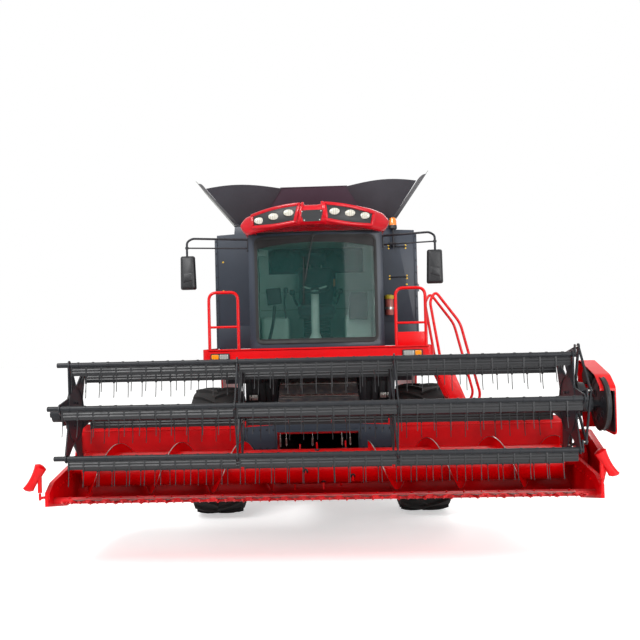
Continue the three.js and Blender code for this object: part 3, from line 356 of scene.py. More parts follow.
chrome_rod = bare_metal("hard_chromed_rod", "#d4d6d8", 0.12, 4, (1, 0.2, 0.2))
knife_steel = bare_metal("hardened_knife_steel", "#9a9894", 0.35, 3, (0.2, 1, 1))
yellow_zinc = bare_metal("yellow_passivated_zinc", "#d9b24a", 0.35, 5, (1, 1, 1))
cast_iron = bare_metal("cast_iron_painted_over", "#4c4b4a", 0.6, 6, (1, 1, 1))
polished_steel = bare_metal("wheel_worn_steel", "#b5b3ae", 0.3, 5, (1, 0.3, 0.3))
mirror_glass = bare_metal("silvered_mirror_glass", "#dfe4e6", 0.03, 400, (1, 1, 1))

# %% [markdown]
# ## Glass, lenses and cloth
# Cab glass is tinted green and only a little of what is behind it is lost, so it is a thin sheet
# that lets light by through its alpha and still mirrors the sky. Lenses are ribbed polycarbonate.
# The cloths are a coated canvas round the tank, woven at a little over 1 mm, and a seat weave.

# %% Glass and lenses


def tinted_glass(name, code, alpha, rough=0.03):
    """A sheet of glass: alpha is the share of what is behind it that the tint hides."""
    material, tree, shader, place = new_finish(name)
    film = ranged(tree, grain(tree, place, 380, 4), 0.3, 0.7, alpha * 0.85, min(1, alpha * 1.15))
    smears = ranged(tree, grain(tree, place, 70, 4), 0.4, 0.7, rough, rough + 0.05)
    feed(tree, shader, {"Base Color": linear(code), "Alpha": film, "Roughness": smears,
                        "Specular IOR Level": 0.22, "IOR": 1.5})
    return material


def lens(name, code, rib_mm):
    """A clear or coloured lens with fine prism ribs inside."""
    material, tree, shader, place = new_finish(name)
    ribs = node(tree, "ShaderNodeTexWave", {"Vector": place, "Scale": 1000 / rib_mm / 6.28, "Distortion": 0.0},
                bands_direction="X").outputs["Fac"]
    bumped(tree, shader, ribs, 0.8)
    colour = blended(tree, ribs, linear(code), toned(linear(code), 0.72))
    feed(tree, shader, {"Base Color": colour, "Roughness": 0.12, "IOR": 1.58, "Coat Weight": 0.6})
    return material


cab_glass = tinted_glass("green_tinted_cab_glass", "#1c4340", 0.34)
side_glass = tinted_glass("dark_tinted_side_glass", "#28504b", 0.9)
amber_lens = lens("amber_polycarbonate_lens", "#ff9a12", 9)
clear_lens = lens("clear_polycarbonate_lens", "#a4a8a4", 9)
work_lens = lens("frosted_work_lamp_lens", "#c6c3b6", 12)
beacon_lens = lens("amber_beacon_dome", "#ff8c0a", 8)
reflector = lens("orange_reflex_reflector", "#ff7a1c", 6)

# %% Cloth


def woven(name, code, thread_mm, depth_mm, rough, sheen=0.3):
    """Plain weave: two sets of threads as crossed waves, with painted shade darkening the gaps between them,
    and drifts of wear.
    """
    material, tree, shader, place = new_finish(name)
    scale = 1000 / thread_mm / 6.28
    warp, weft = (node(tree, "ShaderNodeTexWave", {"Vector": place, "Scale": scale},
                       bands_direction=way).outputs["Fac"] for way in "XZ")
    threads = node(tree, "ShaderNodeMath", {0: warp, 1: weft}, operation="MULTIPLY").outputs[0]
    base = linear(code)
    faded = tuple(min(1, v * 1.6 + 0.004) for v in base[:3]) + (1,)
    drift = ranged(tree, grain(tree, place, 320, 5, 0.6), 0.35, 0.75, 0, 0.7)
    colour = blended(tree, drift, base, faded)
    # painted shade: the gaps between threads are blended towards black
    dark = blended(tree, ranged(tree, threads, 0, 1, 0.16, 0), colour, (0.002, 0.002, 0.002, 1))
    bumped(tree, shader, threads, depth_mm)
    feed(tree, shader, {"Base Color": dark, "Roughness": rough, "Sheen Weight": sheen})
    return material


# threads of 1.2 mm would vanish at this distance, so the canvas is drawn three times coarser
tank_canvas = woven("coated_tank_canvas", "#26262e", 4, 0.06, 0.6, 0.1)
seat_cloth = woven("grey_seat_weave", "#343a40", 5, 0.06, 0.9)
print("finishes", len(bpy.data.materials))

# %% [markdown]
# ## A bench for building pieces
# A piece is drawn in millimetres from the middle of the front axle, out of closed shapes: bent
# tubes, turned bodies and bevelled plates. Each shape keeps its own finish. When the piece is
# done it is turned to metres, its faces are made to look outward, and it rides on its CAD body.

# %% The piece builder


def filleted(corners, radius, steps=6):
    """A path through corners with each inner corner rounded to a radius."""
    points = [Vector(c) for c in corners]
    path = [points[0]]
    for before, corner, after in zip(points, points[1:], points[2:]):
        a, b = (before - corner), (after - corner)
        reach = min(radius, a.length * 0.45, b.length * 0.45)
        start, end = corner + a.normalized() * reach, corner + b.normalized() * reach
        for i in range(steps + 1):
            t = i / steps
            path.append(start * (1 - t) ** 2 + corner * 2 * t * (1 - t) + end * t * t)
    return path + [points[-1]]


def oval(half_u, half_v, sides, u=0.0, v=0.0):
    return [(u + half_u * cos(2 * pi * i / sides), v + half_v * sin(2 * pi * i / sides)) for i in range(sides)]


def circle(radius, sides=14):
    return oval(radius, radius, sides)


def rect(u0, v0, u1, v1):
    """The four corners of a rectangle; as a turned profile it gives a rod or a ring."""
    return [(u0, v0), (u1, v0), (u1, v1), (u0, v1)]


def facing_front(u, v, w):
    return u, w, v


def facing_side(u, v, w):
    return w, u, v


def facing_up(u, v, w):
    return u, v, w


def outline(corners, radius, steps=5):
    """A closed flat outline with its corners rounded."""
    path, count = [], len(corners)
    for i, corner in enumerate(corners):
        before, after = Vector(corners[i - 1]), Vector(corners[(i + 1) % count])
        corner = Vector(corner)
        a, b = before - corner, after - corner
        reach = min(radius, a.length * 0.49, b.length * 0.49)
        start, end = corner + a.normalized() * reach, corner + b.normalized() * reach
        for k in range(steps + 1):
            t = k / steps
            path.append(tuple(start * (1 - t) ** 2 + corner * 2 * t * (1 - t) + end * t * t))
    return path


class Piece:
    """Closed shapes in one mesh, in millimetres from the front axle, each with its own finish."""

    def __init__(self, name):
        self.name, self.mesh, self.finishes = name, bmesh.new(), []

    def close(self, faces, finish):
        if finish not in self.finishes:
            self.finishes.append(finish)
        for face in faces:
            face.material_index = self.finishes.index(finish)
        return faces

    def sweep(self, path, section, finish, ring=False, upright=(0, 0, 1)):
        """A section of (u, v) points carried along a path."""
        points = [Vector(p) for p in path]
        count, normal, loops = len(points), Vector(upright), []
        for i, point in enumerate(points):
            before = points[i - 1] if i or ring else point
            after = points[(i + 1) % count] if i < count - 1 or ring else point
            along = (after - before).normalized()
            normal = normal - along * normal.dot(along)
            if normal.length < 1e-4:
                normal = along.orthogonal()
            normal.normalize()
            side = along.cross(normal)
            loops.append([self.mesh.verts.new(point + side * u + normal * v) for u, v in section])
        faces, size = [], len(section)
        for i in range(count if ring else count - 1):
            a, b = loops[i], loops[(i + 1) % count]
            faces += [self.mesh.faces.new((a[k], a[(k + 1) % size], b[(k + 1) % size],
                                           b[k])) for k in range(size)]
        if not ring:
            faces += [self.mesh.faces.new(loops[0][::-1]), self.mesh.faces.new(loops[-1])]
        return self.close(faces, finish)

    def tube(self, corners, radius, finish, bend=60, sides=12, ring=False):
        path = filleted(corners, bend) if not ring else corners
        return self.sweep(path, circle(radius, sides), finish, ring)

    def turned(self, profile, centre, axis, finish, sides=32):
        """A profile of (radius, distance along the axis) spun about the axis through the centre."""
        along = Vector(axis).normalized()
        across = along.orthogonal().normalized()
        other = along.cross(across)
        loops = []
        for radius, reach in profile:
            middle = Vector(centre) + along * reach
            if radius < 1e-6:
                loops.append([self.mesh.verts.new(middle)])
                continue
            ring = [middle + across * u + other * v for u, v in circle(radius, sides)]
            loops.append([self.mesh.verts.new(point) for point in ring])
        faces = []
        closed = profile[0][0] > 1e-6
        for a, b in zip(loops, loops[1:] + (loops[:1] if closed else [])):
            for i in range(sides):
                j = (i + 1) % sides
                corners = [a[i % len(a)], a[j % len(a)], b[j % len(b)], b[i % len(b)]]
                corners = [v for n, v in enumerate(corners) if v not in corners[:n]]
                if len(corners) > 2:
                    faces.append(self.mesh.faces.new(corners))
        return self.close(faces, finish)

    def slab(self, points, push, finish, bevel=0.0):
        """A flat outline in space pushed to a thickness, with its edges eased."""
        first = [self.mesh.verts.new(Vector(p)) for p in points]
        second = [self.mesh.verts.new(Vector(p) + Vector(push)) for p in points]
        size = len(points)
        faces = [self.mesh.faces.new(first[::-1]), self.mesh.faces.new(second)]
        faces += [self.mesh.faces.new((first[i], first[(i + 1) % size], second[(i + 1) % size], second[i]))
                  for i in range(size)]
        self.close(faces, finish)
        if bevel:
            # a round outline's side edges are left alone
            edges = dict.fromkeys(e for f in (faces if size < 9 else faces[:2]) for e in f.edges)
            made = bmesh.ops.bevel(self.mesh, geom=list(edges), offset=bevel, segments=2,
                                   affect="EDGES", profile=0.6)
            faces = [f for f in faces if f.is_valid] + made["faces"]
        return self.close(set(faces), finish)

    def along_x(self, flat, x0, x1, finish, bevel=0.0):
        return self.slab([(x0, y, z) for y, z in flat], (x1 - x0, 0, 0), finish, bevel)

    def along_y(self, flat, y0, y1, finish, bevel=0.0):
        return self.slab([(x, y0, z) for x, z in flat], (0, y1 - y0, 0), finish, bevel)

    def along_z(self, flat, z0, z1, finish, bevel=0.0):
        return self.slab([(x, y, z0) for x, y in flat], (0, 0, z1 - z0), finish, bevel)

    def block(self, low, high, finish, bevel=3.0):
        (x0, y0, z0), (x1, y1, z1) = low, high
        return self.along_z(rect(x0, y0, x1, y1), z0, z1, finish, bevel)

    def skin(self, rows, thickness, finish):
        """A grid of points made a sheet of one thickness, wrapped shut along its rim."""
        tall, wide = len(rows), len(rows[0])
        grid = [[Vector(p) for p in row] for row in rows]
        front, back = [], []
        for r in range(tall):
            front.append([])
            back.append([])
            for c in range(wide):
                down = grid[min(r + 1, tall - 1)][c] - grid[max(r - 1, 0)][c]
                over = grid[r][min(c + 1, wide - 1)] - grid[r][max(c - 1, 0)]
                normal = over.cross(down).normalized() * thickness
                front[r].append(self.mesh.verts.new(grid[r][c]))
                back[r].append(self.mesh.verts.new(grid[r][c] + normal))
        faces = []
        for r in range(tall - 1):
            for c in range(wide - 1):
                faces.append(self.mesh.faces.new((front[r][c], front[r][c + 1],
                                                  front[r + 1][c + 1], front[r + 1][c])))
                faces.append(self.mesh.faces.new((back[r][c], back[r + 1][c],
                                                  back[r + 1][c + 1], back[r][c + 1])))
        rim = [(0, c) for c in range(wide)] + [(r, wide - 1) for r in range(1, tall)]
        rim += [(tall - 1, c) for c in range(wide - 2, -1, -1)] + [(r, 0) for r in range(tall - 2, 0, -1)]
        for (r, c), (r2, c2) in zip(rim, rim[1:] + rim[:1]):
            faces.append(self.mesh.faces.new((front[r][c], back[r][c], back[r2][c2], front[r2][c2])))
        return self.close(faces, finish)

    def loft(self, loops, finish):
        """A closed body through loops of the same number of points."""
        rings = [[self.mesh.verts.new(Vector(p)) for p in loop] for loop in loops]
        faces = []
        for first, second in zip(rings, rings[1:]):
            for i in range(len(first)):
                j = (i + 1) % len(first)
                faces.append(self.mesh.faces.new((first[i], first[j], second[j], second[i])))
        faces += [self.mesh.faces.new(rings[0][::-1]), self.mesh.faces.new(rings[-1])]
        return self.close(faces, finish)

    def pressed(self, flat, layers, finish, place=facing_front):
        """An outline drawn in by an inset at each reach, as a pressed lid or a lamp is."""
        us, vs = [u for u, _ in flat], [v for _, v in flat]
        mu, mv = (min(us) + max(us)) / 2, (min(vs) + max(vs)) / 2
        hu, hv = (max(us) - min(us)) / 2, (max(vs) - min(vs)) / 2
        loops = []
        for inset, reach in layers:
            su, sv = max(0.02, 1 - inset / hu), max(0.02, 1 - inset / hv)
            loops.append([place(mu + (u - mu) * su, mv + (v - mv) * sv, reach) for u, v in flat])
        return self.loft(loops, finish)

    def settle(self, body, slot=None, replaces=(), smooth=32):
        """Turns the piece to metres, looks its faces outward and fixes it to its body."""
        bmesh.ops.recalc_face_normals(self.mesh, faces=self.mesh.faces)
        self.mesh.transform(Matrix.Translation((0, AXLE_Y, 0)) @ Matrix.Scale(0.001, 4))
        data = bpy.data.meshes.new(self.name)
        self.mesh.to_mesh(data)
        self.mesh.free()
        for finish in self.finishes:
            data.materials.append(finish)
        data.shade_smooth()
        data.set_sharp_from_angle(angle=radians(smooth))
        made = added(self.name, data)
        if body:
            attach(made, body)
        if replaces:
            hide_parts(*replaces)
        print(self.name, "faces", len(data.polygons))
        return made


# %% [markdown]
# ## Geometry Nodes for what repeats
# Tines, knife guards, bolts, louvres and tyre lugs are one small shape placed many times. Two
# trees do that: one places copies in a row, the other turns them round an axle. The row tree may tilt
# each copy a little, from a fixed seed, because real tines and springs never stand quite alike.

# %% Trees that repeat a shape


def copies_tree(name, sockets):
    """An empty tree whose first input is the shape and whose last is its finish."""
    tree = bpy.data.node_groups.new(name, "GeometryNodeTree")
    tree.interface.new_socket("Shape", in_out="INPUT", socket_type="NodeSocketGeometry")
    tree.interface.new_socket("Result", in_out="OUTPUT", socket_type="NodeSocketGeometry")
    for label, kind in sockets + (("Finish", "NodeSocketMaterial"),):
        tree.interface.new_socket(label, in_out="INPUT", socket_type=kind)
    return tree, tree.nodes.new("NodeGroupInput").outputs


def end_tree(tree, given, instances):
    real = node(tree, "GeometryNodeRealizeInstances", {"Geometry": instances}).outputs[0]
    dressed = node(tree, "GeometryNodeSetMaterial", {"Geometry": real, "Material": given["Finish"]}).outputs[0]
    node(tree, "NodeGroupOutput", {"Result": dressed})
    return tree


def row_tree():
    tree, given = copies_tree("copies_in_a_row", (
        ("Count", "NodeSocketInt"), ("Start", "NodeSocketVector"), ("Step", "NodeSocketVector"),
        ("Tilt", "NodeSocketFloat")))
    line = node(tree, "GeometryNodeMeshLine", {
        "Count": given["Count"], "Start Location": given["Start"], "Offset": given["Step"]}).outputs[0]
    least = node(tree, "ShaderNodeMath", {0: given["Tilt"], 1: -1.0}, operation="MULTIPLY").outputs[0]
    low = node(tree, "ShaderNodeCombineXYZ", {0: least, 1: least, 2: 0.0}).outputs[0]
    high = node(tree, "ShaderNodeCombineXYZ", {0: given["Tilt"], 1: given["Tilt"], 2: 0.0}).outputs[0]
    chance = node(tree, "FunctionNodeRandomValue", {0: low, 1: high, "Seed": 7}, data_type="FLOAT_VECTOR")
    placed = node(tree, "GeometryNodeInstanceOnPoints", {
        "Points": line, "Instance": given["Shape"], "Rotation": chance.outputs[0]}).outputs[0]
    return end_tree(tree, given, placed)


def ring_tree():
    tree, given = copies_tree("copies_round_an_axle", (
        ("Count", "NodeSocketInt"), ("Centre", "NodeSocketVector"), ("Axle", "NodeSocketVector"),
        ("First angle", "NodeSocketFloat")))
    line = node(tree, "GeometryNodeMeshLine", {
        "Count": given["Count"], "Start Location": given["Centre"], "Offset": (0.0, 0.0, 0.0)}).outputs[0]
    share = node(tree, "ShaderNodeMath", {0: 2 * pi, 1: given["Count"]}, operation="DIVIDE").outputs[0]
    number = tree.nodes.new("GeometryNodeInputIndex").outputs[0]
    angle = node(tree, "ShaderNodeMath", {0: number, 1: share, 2: given["First angle"]},
                 operation="MULTIPLY_ADD").outputs[0]
    turn = node(tree, "FunctionNodeAxisAngleToRotation", {"Axis": given["Axle"], "Angle": angle}).outputs[0]
    placed = node(tree, "GeometryNodeInstanceOnPoints", {
        "Points": line, "Instance": given["Shape"], "Rotation": turn}).outputs[0]
    return end_tree(tree, given, placed)


def helix_tree():
    """A box bent into a helical flight round the X axis."""
    sizes = ("Start", "Length", "Turns", "First angle", "Inner radius", "Outer radius", "Thickness")
    tree, given = copies_tree("auger_flight", tuple((label, "NodeSocketFloat") for label in sizes) + (
        ("Axle", "NodeSocketVector"), ("Steps", "NodeSocketInt")))

    def sums(operation, *values):
        return node(tree, "ShaderNodeMath", dict(enumerate(values)), operation=operation).outputs[0]

    bar = node(tree, "GeometryNodeMeshCube", {
        "Size": (1.0, 1.0, 1.0), "Vertices X": given["Steps"], "Vertices Y": 2, "Vertices Z": 2}).outputs[0]
    place = tree.nodes.new("GeometryNodeInputPosition").outputs[0]
    axis = node(tree, "ShaderNodeSeparateXYZ", {0: place}).outputs
    share = sums("ADD", axis[0], 0.5)
    turned = sums("MULTIPLY", sums("MULTIPLY", share, given["Turns"]), 2 * pi)
    angle = sums("ADD", turned, given["First angle"])
    wide = sums("SUBTRACT", given["Outer radius"], given["Inner radius"])
    radius = sums("MULTIPLY_ADD", sums("ADD", axis[1], 0.5), wide, given["Inner radius"])
    reach = sums("MULTIPLY_ADD", share, given["Length"], given["Start"])
    x = sums("MULTIPLY_ADD", axis[2], given["Thickness"], reach)
    spot = node(tree, "ShaderNodeCombineXYZ", {
        0: x, 1: sums("MULTIPLY", radius, sums("COSINE", angle)),
        2: sums("MULTIPLY", radius, sums("SINE", angle))})
    moved = node(tree, "ShaderNodeVectorMath", {0: spot.outputs[0], 1: given["Axle"]},
                 operation="ADD").outputs[0]
    bent = node(tree, "GeometryNodeSetPosition", {"Geometry": bar, "Position": moved}).outputs[0]
    return end_tree(tree, given, bent)


ROW, ROUND, FLIGHT = row_tree(), ring_tree(), helix_tree()
print("trees", [t.name for t in (ROW, ROUND, FLIGHT)])

# %% Put copies into a piece


def repeat(piece, shape, tree, finish, **inputs):
    """Runs a tree on a small shape and joins the plain mesh it gives to the piece."""
    data = bpy.data.meshes.new("one_shape")
    if shape is not None:
        bmesh.ops.recalc_face_normals(shape.mesh, faces=shape.mesh.faces)
        shape.mesh.to_mesh(data)
        shape.mesh.free()
    holder = added("one_shape", data)
    modifier = holder.modifiers.new("copies", "NODES")
    modifier.node_group = tree
    inputs["Finish"] = finish
    for item in tree.interface.items_tree:
        label = item.name.replace(" ", "_")
        if item.in_out == "INPUT" and label in inputs:
            modifier[item.identifier] = inputs[label]
    solid = bpy.data.meshes.new_from_object(holder.evaluated_get(bpy.context.evaluated_depsgraph_get()))
    holder.modifiers.clear()
    bpy.data.objects.remove(holder)
    before = len(piece.mesh.faces)
    piece.mesh.from_mesh(solid)
    piece.mesh.faces.ensure_lookup_table()
    piece.close(piece.mesh.faces[before:], finish)
    bpy.data.meshes.remove(solid)
    return len(piece.mesh.faces) - before


def bolt_head(across=18, tall=9, axis=(0, -1, 0)):
    """A hexagon screw head on a washer, looking along the axis."""
    shape = Piece("bolt")
    shape.turned(rect(0, -1, across * 0.75, 2), (0, 0, 0), axis, yellow_zinc, 12)
    profile = [(0, 1), (across * 0.56, 1), (across * 0.56, tall * 0.85), (across * 0.42, tall), (0, tall)]
    shape.turned(profile, (0, 0, 0), axis, yellow_zinc, 6)
    return shape


def bolt_row(piece, start, step, count, axis=(0, -1, 0), across=18, finish=yellow_zinc):
    repeat(piece, bolt_head(across, across / 2, axis), ROW, finish,
           Count=count, Start=tuple(map(float, start)), Step=tuple(map(float, step)))


def bolts(piece, places, axis=(0, -1, 0), across=18, finish=yellow_zinc):
    """Screw heads on a list of places."""
    for place in places:
        bolt_row(piece, place, (0, 0, 0), 1, axis, across, finish)


print("bench ready")

# %% [markdown]
# ## Refining the CAD's plain sheet metal
# Folded and welded sheet has soft edges that catch a line of light. A body whose shape is right
# is copied, its loose triangles welded, flat faces joined, and its sharp edges eased by a small
# bevel. The copy stands for the CAD body and takes an enamel.

# %% Eased copies of CAD bodies


def coated(data, finish):
    """Gives every face of a mesh one finish."""
    data.materials.clear()
    data.materials.append(finish)
    for polygon in data.polygons:
        polygon.material_index = 0


def eased(node_name, finish, bevel_mm=3.0, smooth=30, name=None):
    """A welded copy of a CAD node with bevelled edges, on the same body."""
    source = frame["nodes"][node_name]
    mesh = bmesh.new()
    mesh.from_mesh(source.data)
    bmesh.ops.remove_doubles(mesh, verts=mesh.verts, dist=0.00005)
    bmesh.ops.dissolve_limit(mesh, angle_limit=radians(1.5), verts=mesh.verts, edges=mesh.edges)
    sharp = [e for e in mesh.edges if len(e.link_faces) == 2 and e.calc_face_angle(0) > radians(34)
             and e.calc_length() > bevel_mm * 0.0025]
    if bevel_mm:
        bmesh.ops.bevel(mesh, geom=sharp, offset=bevel_mm / 1000, segments=2, affect="EDGES",
                        profile=0.6, clamp_overlap=True)
    data = bpy.data.meshes.new(name or node_name + "_eased")
    mesh.to_mesh(data)
    mesh.free()
    coated(data, finish)
    data.shade_smooth()
    data.set_sharp_from_angle(angle=radians(smooth))
    made = added(data.name, data)
    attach(made, source["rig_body"])
    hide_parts(node_name)
    return made


def painted(node_name, finish):
    """The CAD body itself, given a finish."""
    coated(frame["nodes"][node_name].data, finish)


EASED = (
    ("main_frame", black_enamel, 4, "black_paint"), ("threshing_body", red_enamel, 4, "red_paint"),
    ("grain_tank", blue_enamel, 4, "dark_blue_paint"), ("engine_hood", red_enamel, 4, "red_paint"),
    ("straw_hood", red_enamel, 4, "red_paint"), ("straw_chopper", red_enamel, 3, "red_paint"),
    ("front_axle", black_enamel, 5, "black_paint"), ("rear_axle_beam", black_enamel, 4, "black_paint"),
    ("cab_shell", blue_enamel, 4, "dark_blue_paint"), ("feeder_house", black_enamel, 3, "dark_blue_paint"),
    ("header_body", worn_red, 2.5, "red_paint"), ("reel_rotor", comb_enamel, 2, "black_paint"),
    ("reel_control_spider", comb_enamel, 2, "black_paint"), ("reel_arm_left", comb_enamel, 4, "black_paint"),
    ("reel_arm_right", comb_enamel, 4, "black_paint"), ("lift_barrels", black_enamel, 2, "black_paint"),
    ("engine_block", cast_iron, 12, "cast_iron"),
)
for name, finish, bevel, slot in EASED:
    shaped = eased(name, finish, bevel)
    print(shaped.name, "faces", len(shaped.data.polygons))
for name, finish in (("lift_rods", chrome_rod), ("knife", knife_steel), ("steering_knuckle_left", cast_iron),
                     ("steering_knuckle_right", cast_iron), ("reel_barrel_left", black_enamel),
                     ("reel_barrel_right", black_enamel), ("reel_rod_left", chrome_rod),
                     ("reel_rod_right", chrome_rod)):
    painted(name, finish)
print("eased", len(EASED))

# %% [markdown]
# ## The reel's bars
# Six tubes run the width of the header. Under each hangs a comb of ribbed plastic in short
# lengths, and between two lengths a spring tine of thin wire, bent a little forward, combs the
# crop in. One comb length and one tine are drawn, and the row tree sets them along each bay.

# %% Bars, combs and tines
REEL = {"y": -2750, "z": 1439, "radius": 468, "first": 10.1, "crank": 65}
BAYS = ((-2164, -714, 11), (-686, 646, 10), (674, 2164, 11))
COMB = [(5, -12), (11, -22), (6, -33), (12, -45), (6, -57), (12, -69), (7, -82), (4, -96)]


def bar_place(number, radius=None):
    angle = radians(REEL["first"] + 60 * number)
    reach = radius or REEL["radius"]
    return REEL["y"] - reach * cos(angle), REEL["z"] + reach * sin(angle)


def comb_length(length):
    shape = Piece("comb")
    flat = COMB + [(-u, v) for u, v in reversed(COMB)]
    shape.along_x(flat, -length / 2, length / 2, black_plastic)
    return shape


def tine():
    shape = Piece("tine")
    shape.slab([(-7, -13, -8), (7, -13, -8), (7, 13, -8), (-7, 13, -8)], (0, 0, -96), black_plastic, 2)
    path = [(0, 0, -96), (0, -1, -130), (0, -5, -170), (0, -12, -208), (0, -21, -238)]
    shape.sweep(path, circle(3.6, 6), black_plastic)
    return shape


for number in range(6):
    y, z = bar_place(number)
    bar = Piece(f"reel_bar_{number + 1}_sprung")
    bar.turned([(0, -2285), (19, -2285), (22, -2281), (22, 2198), (19, 2202), (0, 2202)], (0, y, z), (1, 0, 0),
               comb_enamel, 16)
    for low, high, count in BAYS:
        pitch = (high - low) / count
        start = (low + pitch / 2, y, z)
        repeat(bar, comb_length(pitch - 3), ROW, black_plastic, Count=count, Start=start,
               Step=(pitch, 0.0, 0.0))
        repeat(bar, tine(), ROW, black_plastic, Count=count, Start=(low + 7, y, z),
               Step=(pitch, 0.0, 0.0), Tilt=0.03)
        clamp = Piece("clamp")
        clamp.turned(rect(22, -9, 26, 9), (0, 0, 0), (1, 0, 0), comb_enamel, 14)
        repeat(bar, clamp, ROW, comb_enamel, Count=count, Start=start, Step=(pitch, 0.0, 0.0))
    crank = outline([(y - 20, z - 26), (y + 20, z - 26), (y + 14, z + 84), (y - 14, z + 84)], 16)
    bar.along_x(crank, 2196, 2208, comb_enamel, 1.5)
    bar.turned([(0, 0), (10, 0), (10, 44), (7, 46), (0, 46)], (2200, y, z + REEL["crank"]),
               (1, 0, 0), polished_steel, 14)
    bar.settle(f"reel_bar_{number + 1}", "black_paint", [f"reel_bar_{number + 1}"])

# %% [markdown]
# ## The header's auger
# A wide tube gathers the crop to the middle with thin flights, left-handed on one side and
# right-handed on the other. The edges of the flights are polished by straw. In the middle,
# fingers slide in and out of the tube through nylon guides.

# %% Tube, flights and fingers
AUGER = (0.0, -2080.0, 845.0)
auger = Piece("header_auger_flighted")
auger.turned([(0, -2270), (154, -2270), (160, -2264), (160, 2264), (154, 2270), (0, 2270)],
             AUGER, (1, 0, 0), red_enamel, 56)
auger.turned(rect(0, -2304, 34, 2304), AUGER, (1, 0, 0), polished_steel, 20)
for x in (-2266, -760, 760, 2266):
    auger.turned(rect(158, x - 5, 164, x + 5), AUGER, (1, 0, 0), red_enamel, 48)
for start, turns, first in ((-2260.0, -3.0, radians(277)), (460.0, 3.0, radians(104))):
    common = {"Start": start, "Length": 1800.0, "Turns": turns, "First_angle": first,
              "Axle": AUGER, "Steps": 130}
    repeat(auger, None, FLIGHT, red_enamel, Inner_radius=150.0, Outer_radius=243.0, Thickness=5.0, **common)
    repeat(auger, None, FLIGHT, polished_steel, Inner_radius=241.0, Outer_radius=248.0, Thickness=7.0, **common)
for i in range(14):
    angle, x = radians(i * 137.5), -360 + i * 55.4
    out = (0, cos(angle), sin(angle))
    auger.turned([(0, 150), (24, 150), (24, 164), (14, 170), (0, 170)], (x, AUGER[1], AUGER[2]),
                 out, black_plastic, 14)
    auger.turned([(0, 150), (8, 150), (8, 232), (5, 236), (0, 236)], (x, AUGER[1], AUGER[2]),
                 out, red_enamel, 10)
auger.settle("header_auger", "red_paint", ["header_auger"])

# %% [markdown]
# ## The header's mouth, lip and guards
# Where the header hands over to the feeder a dark steel frame is bolted in, with coil springs
# standing in its mouth. Along the front the lip strip has lost its paint, and sixty-one cast
# guards cover the knife, one every three inches.

# %% Mouth frame
mouth = Piece("feeder_mouth_frame")
for flat in ([(-766, 955), (-420, 955), (-420, 1215), (-766, 1195)],
             [(382, 955), (737, 955), (737, 1195), (382, 1215)], rect(-424, 1150, 386, 1228)):
    mouth.along_y(flat, -1822, -1806, blue_enamel, 2)
for x in (-766, 725):
    mouth.along_y(rect(x, 940, x + 12, 1225), -1842, -1800, blue_enamel, 1.5)
mouth.block((-424, -1838, 1142), (386, -1806, 1154), blue_enamel, 2)
for x in (-430, 384):
    mouth.block((x, -1838, 958), (x + 10, -1806, 1150), blue_enamel, 2)
for start in ((-720, -1822, 1168), (430, -1822, 1168), (-720, -1822, 985), (430, -1822, 985)):
    bolt_row(mouth, start, (66, 0, 0), 5, across=14, finish=black_enamel)
for x in (-390, -330, -70, 220, 300):
    coil = Piece("coil")
    coil.turned(rect(6, -3, 11, 3), (0, 0, 0), (0, 0, 1), polished_steel, 12)
    repeat(mouth, coil, ROW, polished_steel, Count=9, Start=(float(x), -1830.0, 1015.0),
           Step=(0.0, 0.0, 8.0), Tilt=0.12)
    mouth.tube([(x, -1830, 1000), (x, -1830, 1130)], 3, polished_steel, sides=8)
for y in (-1240, -900, -560, -240):
    z = 1160 + (y + 1690) * 620 / 1820
    mouth.slab([(-432, y - 22, z - 4), (432, y - 22, z - 4), (432, y + 22, z + 12), (-432, y + 22, z + 12)],
               (0, -3, 14), black_enamel, 2)
    bolt_row(mouth, (-400, y, z + 16), (80, 0, 0), 11, (0, -0.34, 0.94), 15, polished_steel)
mouth.settle("feeder", "dark_blue_paint")

# %% Lip strip and guards
lip = Piece("header_lip_and_guards")
fold = [(-2752, 640), (-2700, 636), (-2690, 660), (-2698, 690), (-2740, 678)]
lip.along_x(fold, -2396, 2396, lip_red, 1.5)
guard = Piece("guard")
guard.slab([(-19, -2722, 640), (19, -2722, 640), (19, -2722, 664), (-19, -2722, 664)], (0, -34, 0), worn_red, 3)
guard.sweep([(0, -2744, 650), (0, -2800, 651), (0, -2850, 672)], circle(9, 8), lip_red)
repeat(lip, guard, ROW, lip_red, Count=61, Start=(-2286.0, 0.0, 0.0), Step=(76.2, 0.0, 0.0))
bolt_row(lip, (-2286 + 38, -2716, 690), (152.4, 0, 0), 30, (0, -0.3, 1), 14, worn_red)
bolt_row(lip, (-2330, -2752, 660), (4660 / 40, 0, 0), 41, (0, -1, 0), 12, lip_red)
lip.settle("feeder", "red_paint")

# %% Ribs and rims of the header's sheets
ribs = Piece("header_stiffeners")
ribs.along_x(rect(-1806, 1180, -1800, 1192), -2394, -770, red_enamel, 1)
ribs.along_x(rect(-1806, 1180, -1800, 1192), 742, 2394, red_enamel, 1)
for side in (-1, 1):
    x = side * 2400
    rim = [(x, -2868, 700), (x, -2872, 752), (x, -2738, 826), (x, -2204, 896),
           (x, -1936, 896), (x, -1850, 1176)]
    ribs.sweep(rim, rect(-14, -6, 14, 6), red_enamel, upright=(0, 0, 1))
    bolt_row(ribs, (side * 2394, -2600, 760), (0, 90, 8), 6, (-side, 0, 0), 16, red_enamel)
    ribs.tube([(side * 2300, -1700, 600), (side * 2300, -1700, 1140)], 26, red_enamel)
for x in (-1900, -1200, -600, 600, 1200, 1900):
    flat = rect(-1740, 560, -1690, 1150)
    ribs.along_x(flat, x - 5, x + 5, red_enamel, 1.5)
bolt_row(ribs, (-2350, -1760, 1252), (4700 / 24, 0, 0), 25, (0, 0, 1), 16, red_enamel)
ribs.settle("feeder", "red_paint")

# %% [markdown]
# ## Crop dividers
# A divider is a sheet bent to half a cone, open at its wide end, on a rod hanger. It is drawn as
# rings that shrink from a rounded top and flare again at its foot.

